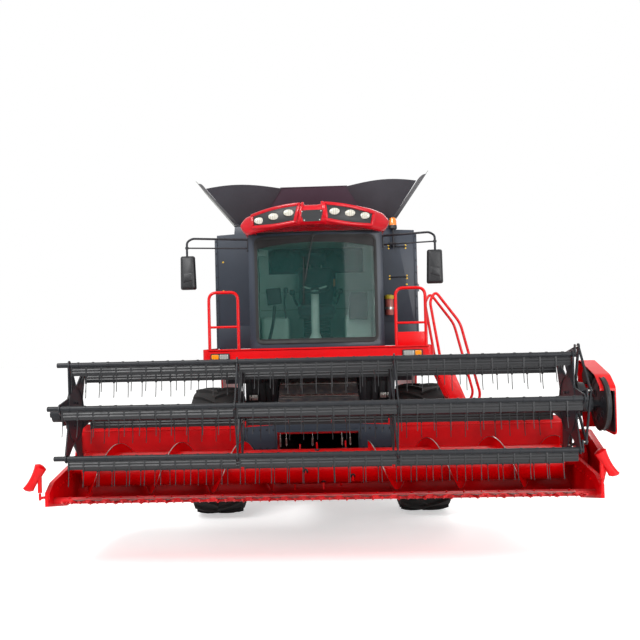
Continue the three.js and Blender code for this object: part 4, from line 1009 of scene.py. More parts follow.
# %% Dividers
for side, name, x, lift in ((1, "left", 2403, 48), (-1, "right", 2465, 0)):
    cone = Piece(f"divider_cone_{name}")
    loops = []
    for t in (0, 0.02, 0.08, 0.2, 0.35, 0.5, 0.65, 0.78, 0.88, 0.95, 1):
        cap = min(1.0, 0.35 + (t / 0.08) * 0.65) * min(1.0, 0.55 + (1 - t) / 0.05 * 0.45)
        wide, deep = (58 - 34 * t + 34 * t ** 4) * cap, (52 - 20 * t) * cap
        middle = (x - 16 + 128 * t ** 1.25, -2890, 1010 + lift - 225 * t)
        tip = 0.5 * t
        loops.append([(side * (middle[0] + u * cos(0.5)), middle[1] - v, middle[2] + u * sin(0.5) * (1 - tip))
                      for u, v in oval(wide, deep, 22)])
    cone.loft(loops, red_enamel)
    cone.turned(rect(13.5, 766 + lift, 19, 935 + lift), (side * x, -2890, 0), (0, 0, 1), red_enamel, 20)
    cone.block((side * x - 18, -2912, 905 + lift), (side * x + 18, -2888, 925 + lift), red_enamel, 2)
    cone.settle(f"crop_divider_{name}", "red_paint", [f"crop_divider_{name}"])

# %% [markdown]
# ## The reel's drive
# A large pulley outside the left arm is turned by a belt. The cover round it is bent from one
# sheet and stays open towards the reel, so its inside and the pulley's spokes show; the inside is lined with a
# black sheet, painted shade.

# %% Drive guard and pulleys
drive = Piece("reel_drive_cover")
shape = [(-2890, 1195), (-2890, 1588), (-2750, 1690), (-2330, 1806), (-2285, 1790),
         (-2262, 1700), (-2262, 1560), (-2400, 1200), (-2840, 1172)]
drive.along_x(outline(shape, 30), 2535, 2545, red_enamel, 1.5)
drive.sweep([(2474, y, z) for y, z in outline(shape, 30)[6:-8]], rect(-66, -3, 66, 3),
            red_enamel, upright=(0, 0, 1))
# painted shade: a black sheet lines the inside of the open cover
inner = [(-2880, 1200), (-2880, 1582), (-2746, 1680), (-2334, 1796), (-2290, 1784),
         (-2270, 1700), (-2270, 1562), (-2404, 1206)]
drive.along_x(outline(inner, 26), 2528, 2534, black_enamel, 1)
drive.block((2374, -2420, 1376), (2430, -2380, 1416), black_enamel, 3)
drive.block((2404, -2420, 1376), (2426, -2290, 1600), black_enamel, 3)
drive.turned([(0, 2430), (70, 2430), (74, 2440), (74, 2480), (0, 2484)], (0, -2390, 1660),
             (1, 0, 0), cast_iron, 28)
drive.turned(rect(0, 2486, 40, 2530), (0, -2390, 1660), (1, 0, 0), black_enamel, 20)
drive.turned(rect(0, 0, 20, 8), (2470, -2700, 1655), (0, -1, 0.3), reflector, 4)
drive.settle("reel_arms", "red_paint", ["reel_drive_guard"])

pulley = Piece("reel_pulley_and_plates")
hub = (0.0, REEL["y"], REEL["z"])
pulley.turned([(196, 2438), (238, 2438), (226, 2457), (238, 2476), (196, 2476)], hub, (1, 0, 0), cast_iron, 64)
pulley.turned([(0, 2444), (200, 2452), (200, 2462), (0, 2470)], hub, (1, 0, 0), cast_iron, 48)
spot = Piece("hole_rim")
spot.turned(rect(24, 2434, 34, 2442), (0, 0, 130), (1, 0, 0), black_enamel, 20)
repeat(pulley, spot, ROUND, black_enamel, Count=6, Centre=hub, Axle=(1.0, 0.0, 0.0), First_angle=0.2)
stud = bolt_head(20, 10, (1, 0, 0))
stud.mesh.transform(Matrix.Translation((2470, 0, 62)))
repeat(pulley, stud, ROUND, black_enamel, Count=6, Centre=hub, Axle=(1.0, 0.0, 0.0))
for side in (-1, 1):
    x = side * 2178
    pulley.turned(rect(236, x - 12, 254, x + 12), hub, (1, 0, 0), comb_enamel, 64)
    pulley.turned([(0, x - 9), (238, x - 7), (238, x + 7), (0, x + 9)], hub, (1, 0, 0), black_enamel, 48)
    stud = bolt_head(20, 10, (-side, 0, 0))
    stud.mesh.transform(Matrix.Translation((x - side * 8, 0, 110)))
    repeat(pulley, stud, ROUND, black_enamel, Count=8, Centre=hub, Axle=(1.0, 0.0, 0.0), First_angle=0.3)
pulley.settle("reel", "black_paint")

# %% [markdown]
# ## The cab's roof
# A glass-fibre visor swells forward over the windscreen. It is lofted through sections from side
# to side: each section keeps the roof's back and closes in at the two ends. Two recesses hold
# three work lamps each, and a bare dark plate fills the middle.

# %% Visor
TOP_LINE = ((-800, 3352), (-760, 3382), (-600, 3432), (-400, 3466), (-200, 3490),
            (-120, 3494), (-95, 3470), (60, 3472),
            (85, 3498), (160, 3496), (400, 3466), (600, 3436), (740, 3392), (800, 3352))
LOW_LINE = ((-800, 3240), (-760, 3202), (-700, 3196), (-500, 3225), (-200, 3256),
            (0, 3263), (200, 3258), (500, 3228), (700, 3196), (760, 3202), (800, 3240))


def along_line(line, x):
    """The height of a line of points at x."""
    for (x0, z0), (x1, z1) in zip(line, line[1:]):
        if x <= x1:
            t = (x - x0) / (x1 - x0)
            return z0 + (z1 - z0) * max(0.0, t)
    return line[-1][1]


def visor_front(x):
    return -1386 + 300 * (abs(x) / 800) ** 2.4


def visor_face(x, z, proud=0.0):
    """A point on the visor's face: nearly flat, rolling back towards its two edges."""
    top, low = along_line(TOP_LINE, x), along_line(LOW_LINE, x)
    u = (2 * z - top - low) / max(1.0, top - low)
    return (x, visor_front(x) + 46 * min(1.0, abs(u)) ** 5 + 10 * max(0.0, u) - proud, z)


roof = Piece("cab_roof_visor")
sections = []
for i in range(61):
    x = -800 + 1600 * i / 60
    x = 800 * (1 if x > 0 else -1) * (1 - (1 - abs(x) / 800) ** 1.25) if x else 0.0
    top, low, front = along_line(TOP_LINE, x), along_line(LOW_LINE, x), visor_front(x)
    face = [visor_face(x, low + (top - low) * v)[1:] for v in (0.02, 0.08, 0.2, 0.5, 0.8, 0.92, 0.98)]
    back = min(1.0, (800 - abs(x)) / 60) ** 0.5
    flat = [(440, 3236), (-700, 3236), (front + 330, 3236), (front + 150, low + 12), (front + 80, low - 2)]
    flat += face + [(front + 110, top + 6), (front + 240, top - 8), (-500, 3300 + (top - 3306) * 0.8),
                    (380, 3370), (440, 3340)]
    sections.append([(x, y, 3300 + (z - 3300) * (0.4 + 0.6 * back)) for y, z in flat])
roof.loft(sections, crimson_gelcoat)
roof.block((-640, -985, 3228), (640, -300, 3240), black_plastic)


def on_face(corners, radius, proud):
    """A rounded outline laid on the visor's face."""
    return [visor_face(x, z, proud) for x, z in outline(corners, radius, 6)]


EYES = ([(-668, 3392), (-660, 3266), (-206, 3290), (-154, 3476)],
        [(108, 3478), (130, 3302), (604, 3250), (636, 3382)])
for eye in EYES:
    (x0, z0), (x1, z1), (x2, z2), (x3, z3) = eye
    grid = []
    for j in range(7):
        v = j / 6
        left = (x0 + (x1 - x0) * v, z0 + (z1 - z0) * v)
        right = (x3 + (x2 - x3) * v, z3 + (z2 - z3) * v)
        bow = 14 * (1 - 2 * v)
        grid.append([visor_face(left[0] + (right[0] - left[0]) * i / 12,
                                left[1] + (right[1] - left[1]) * i / 12 + bow * sin(pi * i / 12),
                                3) for i in range(13)])
    roof.skin(grid, 8, black_plastic)
    ring = grid[0] + [row[-1] for row in grid[1:-1]] + grid[-1][::-1] + [row[0] for row in grid[-2:0:-1]]
    roof.sweep(ring, oval(20, 17, 10), crimson_gelcoat, True, (0, -1, 0))
for x, z in ((-585, 3327), (-430, 3357), (-269, 3386), (213, 3386), (376, 3368), (532, 3345)):
    spot = visor_face(x, z)[1]
    roof.pressed(oval(60, 40, 32, x, z), ((0, spot), (0, spot - 12), (3, spot - 15), (6, spot - 15)),
                 seal_rubber)
    roof.pressed(oval(54, 35, 32, x, z), ((0, spot - 10), (0, spot - 17), (5, spot - 21),
                                          (18, spot - 25), (34, spot - 27)), work_lens)
badge = [(-150, 3405), (94, 3408), (66, 3290), (-114, 3288)]
roof.loft([on_face(badge, 12, 8), on_face(badge, 12, -14)], black_plastic)
for a, b in (((-118, 3494), (-168, 3268)), ((84, 3498), (122, 3266))):
    ridge = [visor_face(a[0] + (b[0] - a[0]) * t / 8, a[1] + (b[1] - a[1]) * t / 8, 2) for t in range(9)]
    roof.sweep(ridge, oval(15, 9, 10), crimson_gelcoat, upright=(0, -1, 0))
bolts(roof, [visor_face(x, z, 7) for x, z in ((-128, 3392), (72, 3394), (56, 3302), (-104, 3300))], across=10,
      finish=polished_steel)
roof.settle("chassis", "red_paint", ["cab_roof"])

# %% [markdown]
# ## Windscreen
# One bowed sheet of tinted glass in a rubber seal, with a black band along its foot and a deeper,
# arched one along its top, and a single wiper that parks upright from the top.

# %% Bowed glass, seal and wiper


def screen_y(x, out=0.0):
    return -790 - 150 * (1 - (x / 745) ** 2) - out


glass = Piece("windscreen_bowed_glass")
rows = []
for j in range(9):
    z = 2028 + 1156 * j / 8
    rows.append([(x, screen_y(x, 1), z) for x in (-660 + 1320 * i / 36 for i in range(37))])
glass.skin(rows, -5, cab_glass)
edge = []
loop = outline(rect(-660, 2028, 660, 3184), 70, 8)
for (x0, z0), (x1, z1) in zip(loop, loop[1:] + loop[:1]):
    parts = max(1, int(abs(x1 - x0) / 60))
    edge += [(x0 + (x1 - x0) * k / parts, z0 + (z1 - z0) * k / parts) for k in range(parts)]
glass.sweep([(x, screen_y(x, 0), z) for x, z in edge], [(-16, -9), (16, -9), (16, 9), (0, 12), (-16, 9)],
            seal_rubber, True, (0, -1, 0))
xs = [-655 + 1310 * i / 36 for i in range(37)]
arch = [3066 + 56 * (1 - (x / 660) ** 2) for x in xs]
for lower, upper in (([2030] * 37, [2066] * 37), (arch, [3183] * 37)):
    band = [[(x, screen_y(x, 3), z) for x, z in zip(xs, line)] for line in (lower, upper)]
    glass.skin(band, -2, seal_rubber)
glass.tube([(-20, screen_y(0, 26), 3200), (-60, screen_y(0, 26), 3000), (-118, screen_y(-100, 22), 2700)],
           6, black_plastic, sides=8)
blade = [(-128, screen_y(-128, 9), 2960), (-138, screen_y(-138, 9), 2440)]
glass.sweep(blade, [(-5, -4), (5, -4), (3, 9), (-3, 9)], seal_rubber, upright=(0, -1, 0))
glass.turned([(0, 0), (18, 0), (18, 30), (0, 34)], (-20, screen_y(0, 4), 3196), (0, -1, 0), black_plastic, 16)
glass.settle("chassis", "window_glass", ["windscreen"])

# %% [markdown]
# ## Inside the cab
# Pale green ABS panels line the walls and floor. They are separate pressed panels with rounded
# edges. The wide rear window has a rubber rim, and switch boxes stand on both sides.

# %% Lining
lining = Piece("cab_lining")
wall_y = (346, 358)
for x0, x1, z0, z1 in ((-700, 700, 2012, 2868), (-700, 700, 3172, 3232),
                       (-700, -586, 2866, 3174), (586, 700, 2866, 3174)):
    lining.block((x0, wall_y[0], z0), (x1, wall_y[1], z1), lining_abs, 3)
lining.block((-700, -760, 2006), (700, 350, 2012), lining_abs, 2)
lining.block((-650, -780, 3178), (650, 350, 3192), lining_abs, 4)
lining.block((-704, -700, 2010), (-694, 350, 2330), lining_abs, 3)
for side in (-1, 1):
    lining.block((side * 700 - 4, 296, 2010), (side * 700 + 4, 350, 3190), lining_abs, 2)
    post = [(side * 700, -780), (side * 655, -800), (side * 640, -770), (side * 690, -690), (side * 702, -690)]
    lining.along_z(post, 2010, 3190, lining_abs, 3)
    lining.pressed(outline(rect(side * 650, -250, side * 330, 330), 50),
                   ((10, 2012), (0, 2040), (0, 2300), (14, 2322)), lining_abs, facing_up)
rim = outline(rect(-561, 2885, 539, 3180), 90, 6)
lining.sweep([(x, 344, z) for x, z in rim], rect(-11, -8, 11, 8), seal_rubber, True, (0, -1, 0))
lining.sweep([(x * 0.97, 405, z) for x, z in rim], rect(-14, -7, 14, 7), seal_rubber, True, (0, -1, 0))
lining.block((-585, 374, 2874), (585, 380, 3188), side_glass, 1)
for z in (2420, 2640):
    lining.block((-690, 343, z), (690, 347, z + 4), seal_rubber, 0.5)
lining.pressed(outline([(-557, 2450), (-397, 2470), (-410, 2655), (-577, 2640)], 18),
               ((6, -470), (0, -480), (0, -525), (12, -540)), black_plastic)
lining.tube([(-480, -500, 2450), (-500, -480, 2250), (-560, -420, 2030)], 18, black_plastic)
lining.pressed(outline([(372, 2278), (598, 2268), (590, 2590), (384, 2590)], 26),
               ((8, -250), (0, -262), (0, -330), (12, -345)), black_plastic)
for i in range(6):
    lining.block((404, -350, 2320 + 40 * i), (560, -344, 2332 + 40 * i), seal_rubber, 1)
lining.block((196, 298, 2570), (246, 344, 2880), black_plastic, 6)
lining.block((206, 290, 2700), (238, 300, 2790), amber_lens, 3)
lining.tube([(-360, -380, 2300), (-372, -400, 2520), (-350, -410, 2600)], 11, black_plastic)
lining.turned([(0, 0), (24, 8), (30, 40), (20, 66), (0, 72)], (-350, -410, 2590),
              (0, -0.1, 1), black_plastic, 18)
lining.block((-690, -640, 2600), (-640, -560, 2830), black_plastic, 8)
lining.block((-660, -620, 3010), (-560, -560, 3060), lining_abs, 8)
lining.settle("chassis", "black_plastic")

# %% Steering column and wheel
column = Piece("steering_wheel_and_column")
lean = Vector((0, -sin(radians(19)), cos(radians(19))))
centre = Vector((-15, -400, 2640))
across, other = Vector((1, 0, 0)), lean.cross(Vector((1, 0, 0)))
ring = [centre + across * 176 * cos(2 * pi * i / 40) + other * 176 * sin(2 * pi * i / 40) for i in range(40)]
column.sweep(ring, circle(14, 10), black_plastic, True, lean)
for degrees in (90, 215, 325):
    tip = centre + across * 172 * cos(radians(degrees)) - other * 172 * sin(radians(degrees))
    column.sweep([centre - lean * 8, (centre + tip) / 2 - lean * 10, tip], rect(-14, -5, 14, 5),
                 lining_abs, upright=lean)
column.turned([(0, -26), (46, -26), (52, -6), (44, 12), (20, 20), (0, 21)], centre, lean, black_plastic, 28)
foot = Vector((-18, -640, 2010))
column.sweep([foot, foot.lerp(centre, 0.2), centre - lean * 20], circle(46, 20), lining_abs)
column.turned([(0, 0), (78, 0), (70, 60), (50, 110), (0, 112)], foot, centre - foot, lining_abs, 24)
column.pressed(outline(rect(-110, -720, 80, -560), 30), ((0, 2008), (0, 2050), (14, 2066)),
               lining_abs, facing_up)
column.tube([(60, -440, 2600), (150, -460, 2640)], 7, black_plastic)
column.settle("chassis", "black_plastic", ["steering_column"])

# %% [markdown]
# ## The driver's seat
# Foam pads under a woven cover, on a bellows-covered suspension. Each pad is a crowned closed form
# with its sides drawn in, swollen by a short cloth simulation from a slightly smaller shape.

# %% Seat


def cushion(name, low, high, crown, swell, axis):
    """A pad between two corners, swollen by air pressure; axis is the side that is crowned."""
    mesh = bmesh.new()
    bmesh.ops.create_cube(mesh, size=1.0)
    bmesh.ops.bevel(mesh, geom=mesh.edges[:], offset=0.14, segments=3, affect="EDGES", profile=0.6)
    low, high = Vector(low), Vector(high)
    for vertex in mesh.verts:
        vertex.co = Vector([(a + b) / 2 + v * (b - a) * 0.94 for a, b, v in zip(low, high, vertex.co)])
    mesh.transform(Matrix.Translation((0, AXLE_Y, 0)) @ Matrix.Scale(0.001, 4))
    data = bpy.data.meshes.new(name)
    mesh.to_mesh(data)
    mesh.free()
    made = added(name, data)
    voxel = made.modifiers.new("even_mesh", "REMESH")
    voxel.mode, voxel.voxel_size = "VOXEL", 0.016
    solid = bpy.data.meshes.new_from_object(made.evaluated_get(bpy.context.evaluated_depsgraph_get()))
    made.modifiers.clear()
    made.data = solid
    cloth = made.modifiers.new("swell", "CLOTH")
    cloth.settings.use_pressure = True
    cloth.settings.uniform_pressure_force = 4
    cloth.settings.effector_weights.gravity = 0
    for step in range(1, 13):
        bpy.context.scene.frame_set(step)
    swollen = bpy.data.meshes.new_from_object(made.evaluated_get(bpy.context.evaluated_depsgraph_get()))
    made.modifiers.clear()
    bpy.context.scene.frame_set(1)
    for vertex, place in zip(solid.vertices, swollen.vertices):
        move = place.co - vertex.co
        vertex.co += move.normalized() * min(move.length, swell / 1000) if move.length > 1e-9 else move
    # the crown and two sewn channels come after the swelling
    size = [(high[i] - low[i]) / 1000 for i in range(3)]
    middle = Vector([(low[i] + high[i]) / 2000 for i in range(3)]) + Vector((0, AXLE_Y, 0))
    side = 2 if axis == 1 else 1
    for vertex in solid.vertices:
        u = (vertex.co[0] - middle[0]) / size[0] * 2
        v = (vertex.co[side] - middle[side]) / size[side] * 2
        out = max(0.0, (1 - u * u) * (1 - v * v))
        facing = vertex.co[axis] - middle[axis]
        if (facing > 0) == (axis == 2):
            channel = max(0.0, 1 - abs(abs(u) - 0.5) / 0.06)
            vertex.co[axis] += (crown / 1000 * out - 0.009 * channel * (1 - v * v)) * (1 if axis == 2 else -1)
    solid.materials.append(seat_cloth)
    solid.shade_smooth()
    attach(made, "chassis")
    return made


pads = [cushion("seat_base_pad", (-245, -150, 2335), (245, 285, 2450), 16, 9, 2),
        cushion("seat_back_pad", (-235, 205, 2440), (235, 330, 2950), 18, 9, 1),
        cushion("seat_head_pad", (-135, 262, 2965), (135, 340, 3115), 10, 6, 1)]
print("pads", [len(p.data.vertices) for p in pads])
seat = Piece("seat_frame_and_suspension")
seat.block((-205, -110, 2300), (205, 260, 2338), black_plastic, 8)
for z in range(2080, 2300, 32):
    seat.pressed(outline(rect(-160, -80, 160, 240), 40), ((12, z), (0, z + 8), (0, z + 24), (12, z + 32)),
                 seal_rubber, facing_up)
seat.block((-190, -100, 2010), (190, 260, 2082), black_plastic, 8)
for side in (-1, 1):
    seat.tube([(side * 70, 318, 2900), (side * 70, 330, 3000)], 9, polished_steel)
    seat.pressed(outline(rect(-110, 2590, 200, 2650), 26),
                 ((8, side * 262), (0, side * 270), (0, side * 310), (8, side * 318)),
                 black_plastic, facing_side)
    seat.tube([(side * 285, 150, 2600), (side * 262, 235, 2520), (side * 236, 258, 2480)], 14, black_plastic)
seat.settle("chassis", "black_plastic", ["driver_seat"])
for pad in pads:
    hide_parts("driver_seat")

# %% [markdown]
# ## Door, side window and the shell's edges
# The door is a bent tube frame with one curved-cornered pane bonded to it; the far side has a fixed
# pane. Both are edged with the same rubber.

# %% Panes
for name, side, body, low, high, front, back in (("door_frame_and_pane", 1, "cab_door", 2023, 3183, -683, 293),
                                                 ("right_side_pane", -1, "chassis", 2337, 3183, -683, 293)):
    pane = Piece(name)
    x = side * 724
    ring = outline(rect(front + 22, low + 22, back - 22, high - 22), 60, 7)
    pane.sweep([(x, y, z) for y, z in ring], rect(-20, -17, 20, 17), black_enamel, True, (1, 0, 0))
    inner = outline(rect(front + 40, low + 40, back - 40, high - 40), 50, 7)
    pane.sweep([(x, y, z) for y, z in inner], rect(-7, -11, 7, 11), seal_rubber, True, (1, 0, 0))
    pane.along_x(inner, x - 3, x + 3, side_glass)
    if side > 0:
        pane.pressed(outline(rect(-640, 2480, -590, 2600), 16),
                     ((4, 742), (0, 744), (3, 744.6)), black_plastic, facing_side)
        pane.turned([(0, 0), (15, 0), (15, 1), (0, 1.4)], (743.4, -614, 2570), (1, 0, 0), polished_steel, 16)
        for z in (2300, 2900):
            pane.block((700, 262, z - 45), (722, 290, z + 45), black_enamel, 4)
    pane.settle(body, "window_glass", ["cab_door"] if side > 0 else ())

# %% [markdown]
# ## Deck and handrails
# The deck is a tray of folded sheet with a deep front band. Its handrails are tubes bent in one
# piece, and a small panel closes the left one. Each front corner carries a double lamp.

# %% Deck
deck = Piece("deck_and_handrails")
plan = outline(rect(1250, 440, -1250, -1050), 60, 6)
deck.along_z(plan, 1943, 1950, red_enamel, 2)
band = [(-1247, 436)] + [p for p in outline([(-1247, 436), (-1247, -1047), (1247, -1047), (1247, 436)],
                                            60, 6)[7:21]] + [(1247, 436)]
deck.sweep([(x, y, 1911) for x, y in band], rect(-3, -56, 3, 56), red_enamel)
deck.sweep([(x, y, 1855) for x, y in band], rect(-3, -4, 14, 2), red_enamel)
for x in (-1000, -500, 0, 500, 1000):
    deck.along_x(rect(-1040, 1862, 430, 1943), x - 4, x + 4, red_enamel)
for j in range(11):
    one = Piece("tread")
    one.pressed(outline(rect(-18, -4, 18, 4), 4, 2), ((0, 1949), (2, 1952)), red_enamel, facing_up)
    repeat(deck, one, ROW, red_enamel, Count=41, Start=(-1200.0 + 30 * (j % 2), -1010.0 + 22 * j, 0.0),
           Step=(60.0, 0.0, 0.0))
for side in (-1, 1):
    for y in (-100, 160):
        deck.block((side * 520 - 40, y - 40, 1101), (side * 520 + 40, y + 40, 1860), black_enamel, 4)
    hoop = [(side * 860, -960, 1946), (side * 860, -960, 2590), (side * 1180, -960, 2590),
            (side * 1180, -960, 1946)]
    deck.tube(hoop, 17, red_enamel, 90, 16)
    deck.tube([(side * 860, -960, 2210), (side * 1180, -960, 2210)], 13, red_enamel, sides=12)
    for x in (860, 1180):
        deck.block((side * x - 40, -992, 1948), (side * x + 40, -928, 1956), red_enamel, 2)
        for u in (-26, 26):
            bolt_row(deck, (side * x + u, -978, 1956), (0, 36, 0), 2, (0, 0, 1), 14)
    x0, x1 = (-1162, -954) if side < 0 else (909, 1126)
    case = outline(rect(x0, 1848, x1, 1922), 12, 4)
    deck.pressed(case, ((6, -1046), (0, -1052), (0, -1070), (3, -1074)), black_plastic)
    split = x0 + 90 if side < 0 else x1 - 90
    for low, high, tint in ((x0 + 13, split, amber_lens if side < 0 else clear_lens),
                            (split + 10, x1 - 13, clear_lens if side < 0 else amber_lens)):
        deck.pressed(outline(rect(low, 1860, high, 1910), 8, 3), ((0, -1070), (0, -1077), (4, -1080)), tint)
deck.along_y(rect(866, 1946, 1174, 2112), -963, -957, red_enamel, 1.5)
for x in (-1196, 1196):
    deck.block((x - 10, -900, 1952), (x + 10, -860, 2480), black_plastic, 6)
deck.settle("chassis", "red_paint", ["platform"])

# %% Dark panels and lines under the deck
under = Piece("panels_under_deck")
under.along_y(rect(-636, 1186, 636, 1838), 230, 239, black_enamel, 1)
for side in (-1, 1):
    low, high = sorted((side * 452, side * 1120))
    under.along_y(rect(low, 1535, high, 1854), 60, 68, black_enamel, 1.5)
    low, high = sorted((side * 452, side * 882))
    under.along_y(rect(low, 1110, high, 1540), 60, 68, black_enamel, 1.5)
    for k in range(5):
        x = side * (470 + 88 * k)
        under.tube([(x, 30, 1840), (x + side * 8, 16, 1600), (x - side * 10, 20, 1380), (x, 50, 1130)],
                   8 + 3 * (k % 2), seal_rubber, 60, 10)
    under.block((side * 780 - 60, 20, 1330), (side * 780 + 60, 60, 1400), cast_iron, 6)
    bolt_row(under, (side * 740, 20, 1365), (side * 26, 0, 0), 4, across=14, finish=polished_steel)
    bolt_row(under, (side * 480, 60, 1830), (side * 60, 0, 0), 10, across=14, finish=polished_steel)
    bolt_row(under, (side * 476, 60, 1500), (0, 0, -70), 6, across=14, finish=polished_steel)
    under.tube([(side * 560, 40, 1840), (side * 570, 20, 1700), (side * 500, 20, 1560),
                (side * 500, 40, 1200)], 11, seal_rubber, 60, 10)
    under.tube([(side * 600, 40, 1840), (side * 620, 10, 1660), (side * 560, 10, 1520),
                (side * 560, 40, 1150)], 9, seal_rubber, 60, 10)
under.along_y(rect(-700, 1790, 700, 1855), -420, -408, black_enamel, 2)
under.block((-700, -408, 1838), (700, 60, 1850), black_enamel, 2)
bolt_row(under, (-660, -420, 1822), (120, 0, 0), 12, across=16, finish=polished_steel)
for x in (-520, -300, -60, 260, 420):
    under.tube([(x, -425, 1800), (x + 30, -440, 1850), (x + 90, -430, 1858)], 9, seal_rubber, 20, 10)
under.pressed(outline(rect(520, 1640, 640, 1760), 20), ((6, 60), (0, 50), (0, -10), (10, -20)), cast_iron)
for x in (545, 580, 615):
    under.turned([(0, 0), (13, 0), (13, 40), (9, 44), (0, 44)], (x, 20, 1640), (0, 0, -1), yellow_zinc, 6)
under.turned([(0, 0), (36, 0), (36, 80), (28, 90), (0, 90)], (660, 30, 1620), (0, 0, 1), red_enamel, 20)
under.settle("chassis", "black_paint")

# %% [markdown]
# ## Ladder
# Two plate stringers with pressed treads, and two grab rails, each bent from one tube that runs
# from the deck's edge over the top and down the outside.

# %% Ladder
ladder = Piece("ladder_with_grab_rails")
foot, head = (1870, 480), (1262, 1830)
for y in (-1030, -590):
    flat = [(head[0], head[1]), (head[0], head[1] - 130), (foot[0] - 50, foot[1]), (foot[0] + 70, foot[1]),
            (head[0] + 150, head[1] - 40)]
    ladder.along_y(outline(flat, 18, 3), y, y + 16, red_enamel, 2)
for i in range(5):
    t = (i + 0.5) / 5
    x, z = head[0] + 55 + (foot[0] - head[0]) * t, head[1] - 60 + (foot[1] - head[1]) * t
    tray = outline(rect(x - 90, z, x + 60, z + 24), 7, 3)
    ladder.along_y(tray, -1014, -590, red_enamel, 1.5)
    for k in range(4):
        step = Piece("bead")
        step.pressed(outline(rect(-7, -9, 7, 9), 6, 3), ((0, 0), (0, 3), (2, 5)), red_enamel, facing_up)
        repeat(ladder, step, ROW, red_enamel, Count=9, Start=(x - 66.0 + 36 * k, -980.0, z + 23.0),
               Step=(0.0, 42.0, 0.0))
for y in (-1022, -582):
    rail = [(1330, y, 1740), (1222, y, 2440), (1285, y, 2540), (1540, y, 2192),
            (1620, y, 1870), (1740, y, 1400), (1640, y, 1250)]
    ladder.tube(rail, 15, red_enamel, 70, 16)
    bolts(ladder, [(1334, y - 16, 1742), (1640, y - 16, 1262)], across=18)
ladder.settle("chassis", "red_paint", ["ladder"])

# %% [markdown]
# ## Mirrors, beacon and the fittings on the tank
# A mirror is a moulded shell on two bent rods. Its silvered face looks back along the machine.

# %% Mirrors
for side, name, low, high in ((1, "left", 1200, 1377), (-1, "right", 1308, 1481)):
    arm = Piece(f"mirror_{name}_arms_and_head")
    bend = (low + high) / 2 + 8
    arm.tube([(side * 752, -755, 3186), (side * (bend - 60), -1000, 3186), (side * bend, -1000, 3150),
              (side * bend, -1000, 2980)], 12, black_enamel, 60, 12)
    arm.tube([(side * 752, -755, 3088), (side * bend, -1000, 3084)], 8, black_enamel, 20, 12)
    arm.block((side * 753 - 8, -785, 3050), (side * 753 + 8, -725, 3196), black_enamel, 3)
    bolt_row(arm, (side * 761, -755, 3062), (0, 0, 118), 2, (side, 0, 0), 16, black_enamel)
    for z in (2900, 3084):
        arm.turned(rect(8, -12, 19, 12), (side * bend, -1000, z), (0, 0, 1), black_plastic, 16)
    shell = outline([(side * u, v) for u, v in (
        (low, 2627), (high, 2627), (high - 4, 2997), (low + 12, 2997))], 26, 6)
    arm.pressed(shell, ((4, -962), (0, -966), (0, -990), (5, -1008), (14, -1022), (30, -1030)), black_plastic)
    face = outline([(side * u, v) for u, v in (
        (low + 12, 2640), (high - 12, 2640), (high - 14, 2984), (low + 20, 2984))], 20, 6)
    arm.pressed(face, ((0, -965), (0, -961), (2, -960)), mirror_glass)
    hump = outline([(side * u, v) for u, v in (
        (low + 36, 2730), (high - 30, 2700), (high - 34, 2800), (low + 40, 2810))], 12, 4)
    arm.pressed(hump, ((0, -1020), (0, -1031), (10, -1036)), black_plastic)
    arm.settle("chassis", "black_plastic", [f"mirror_{name}"])

# %% Beacon, handles, bolts and cylinder
beacon = Piece("beacon_on_post")
spot = (975, 420, 0)
beacon.turned(rect(0, 3160, 14, 3408), spot, (0, 0, 1), black_enamel, 16)
beacon.turned([(0, 3400), (44, 3400), (50, 3408), (50, 3440), (46, 3452), (0, 3452)],
              spot, (0, 0, 1), black_plastic, 28)
beacon.turned([(0, 3450), (47, 3450), (45, 3510), (36, 3538), (16, 3549), (0, 3550)],
              spot, (0, 0, 1), beacon_lens, 28)
beacon.block((940, 412, 3200), (1010, 480, 3240), black_enamel, 3)
beacon.settle("chassis", "amber_lens", ["beacon"])

fittings = Piece("tank_front_fittings")
for x0, x1, z in ((920, 1129, 3185), (925, 1137, 2804)):
    fittings.tube([(x0, 480, z), (x0 + 6, 452, z), (x1 - 6, 452, z), (x1, 480, z)], 7, black_enamel, 16, 10)
    for w in (18, -18):
        bolt_row(fittings, (x0 - 2, 480, z + w), (x1 - x0 + 4, 0, 0), 2, across=14)
bolts(fittings, [(1134, 480, 2711), (-1168, 480, 2687), (-1168, 480, 3050)], across=15)
for x in (-1252, 1252):
    bolt_row(fittings, (x, 480, 2260), (0, 0, 150), 8, across=14, finish=black_enamel)
fittings.turned([(0, 2330), (46, 2330), (50, 2340), (50, 2520), (44, 2532), (0, 2532)],
                (905, 404, 0), (0, 0, 1), filter_bowl, 28)
fittings.turned([(0, 2530), (54, 2530), (58, 2540), (56, 2572), (30, 2584), (0, 2584)],
                (905, 404, 0), (0, 0, 1), yellow_cap, 28)
fittings.block((860, 450, 2380), (950, 480, 2500), black_enamel, 3)
fittings.turned(rect(52, 2400, 56, 2430), (905, 404, 0), (0, 0, 1), polished_steel, 28)
for x in (-1238, 1238):
    fittings.sweep([(x, 476, 2210), (x, 476, 3340)], rect(-5, -5, 5, 5), blue_enamel, upright=(0, 1, 0))
for side in (-1, 1):
    low, high = sorted((side * 720, side * 1240))
    fittings.along_y(rect(low, 1953, high, 2240), 468, 478, blue_enamel, 1.5)
fittings.settle("chassis", "dark_blue_paint")

# %% [markdown]
# ## Flaps and the cloths in their corners
# Four boards fold outward and make the tank a funnel. A coated cloth closes each corner. Each cloth
# is two stretched sheets that meet at a fold, each half reaching to its own flap's edge. They stay on the tank.

# %% Flap boards
SIDE_HINGE = (1028, 3540)
END_HINGE = (30, 3506)
TANK_MIDDLE = 1365
LEANS = {1: radians(55), -1: radians(50), 0: radians(53)}


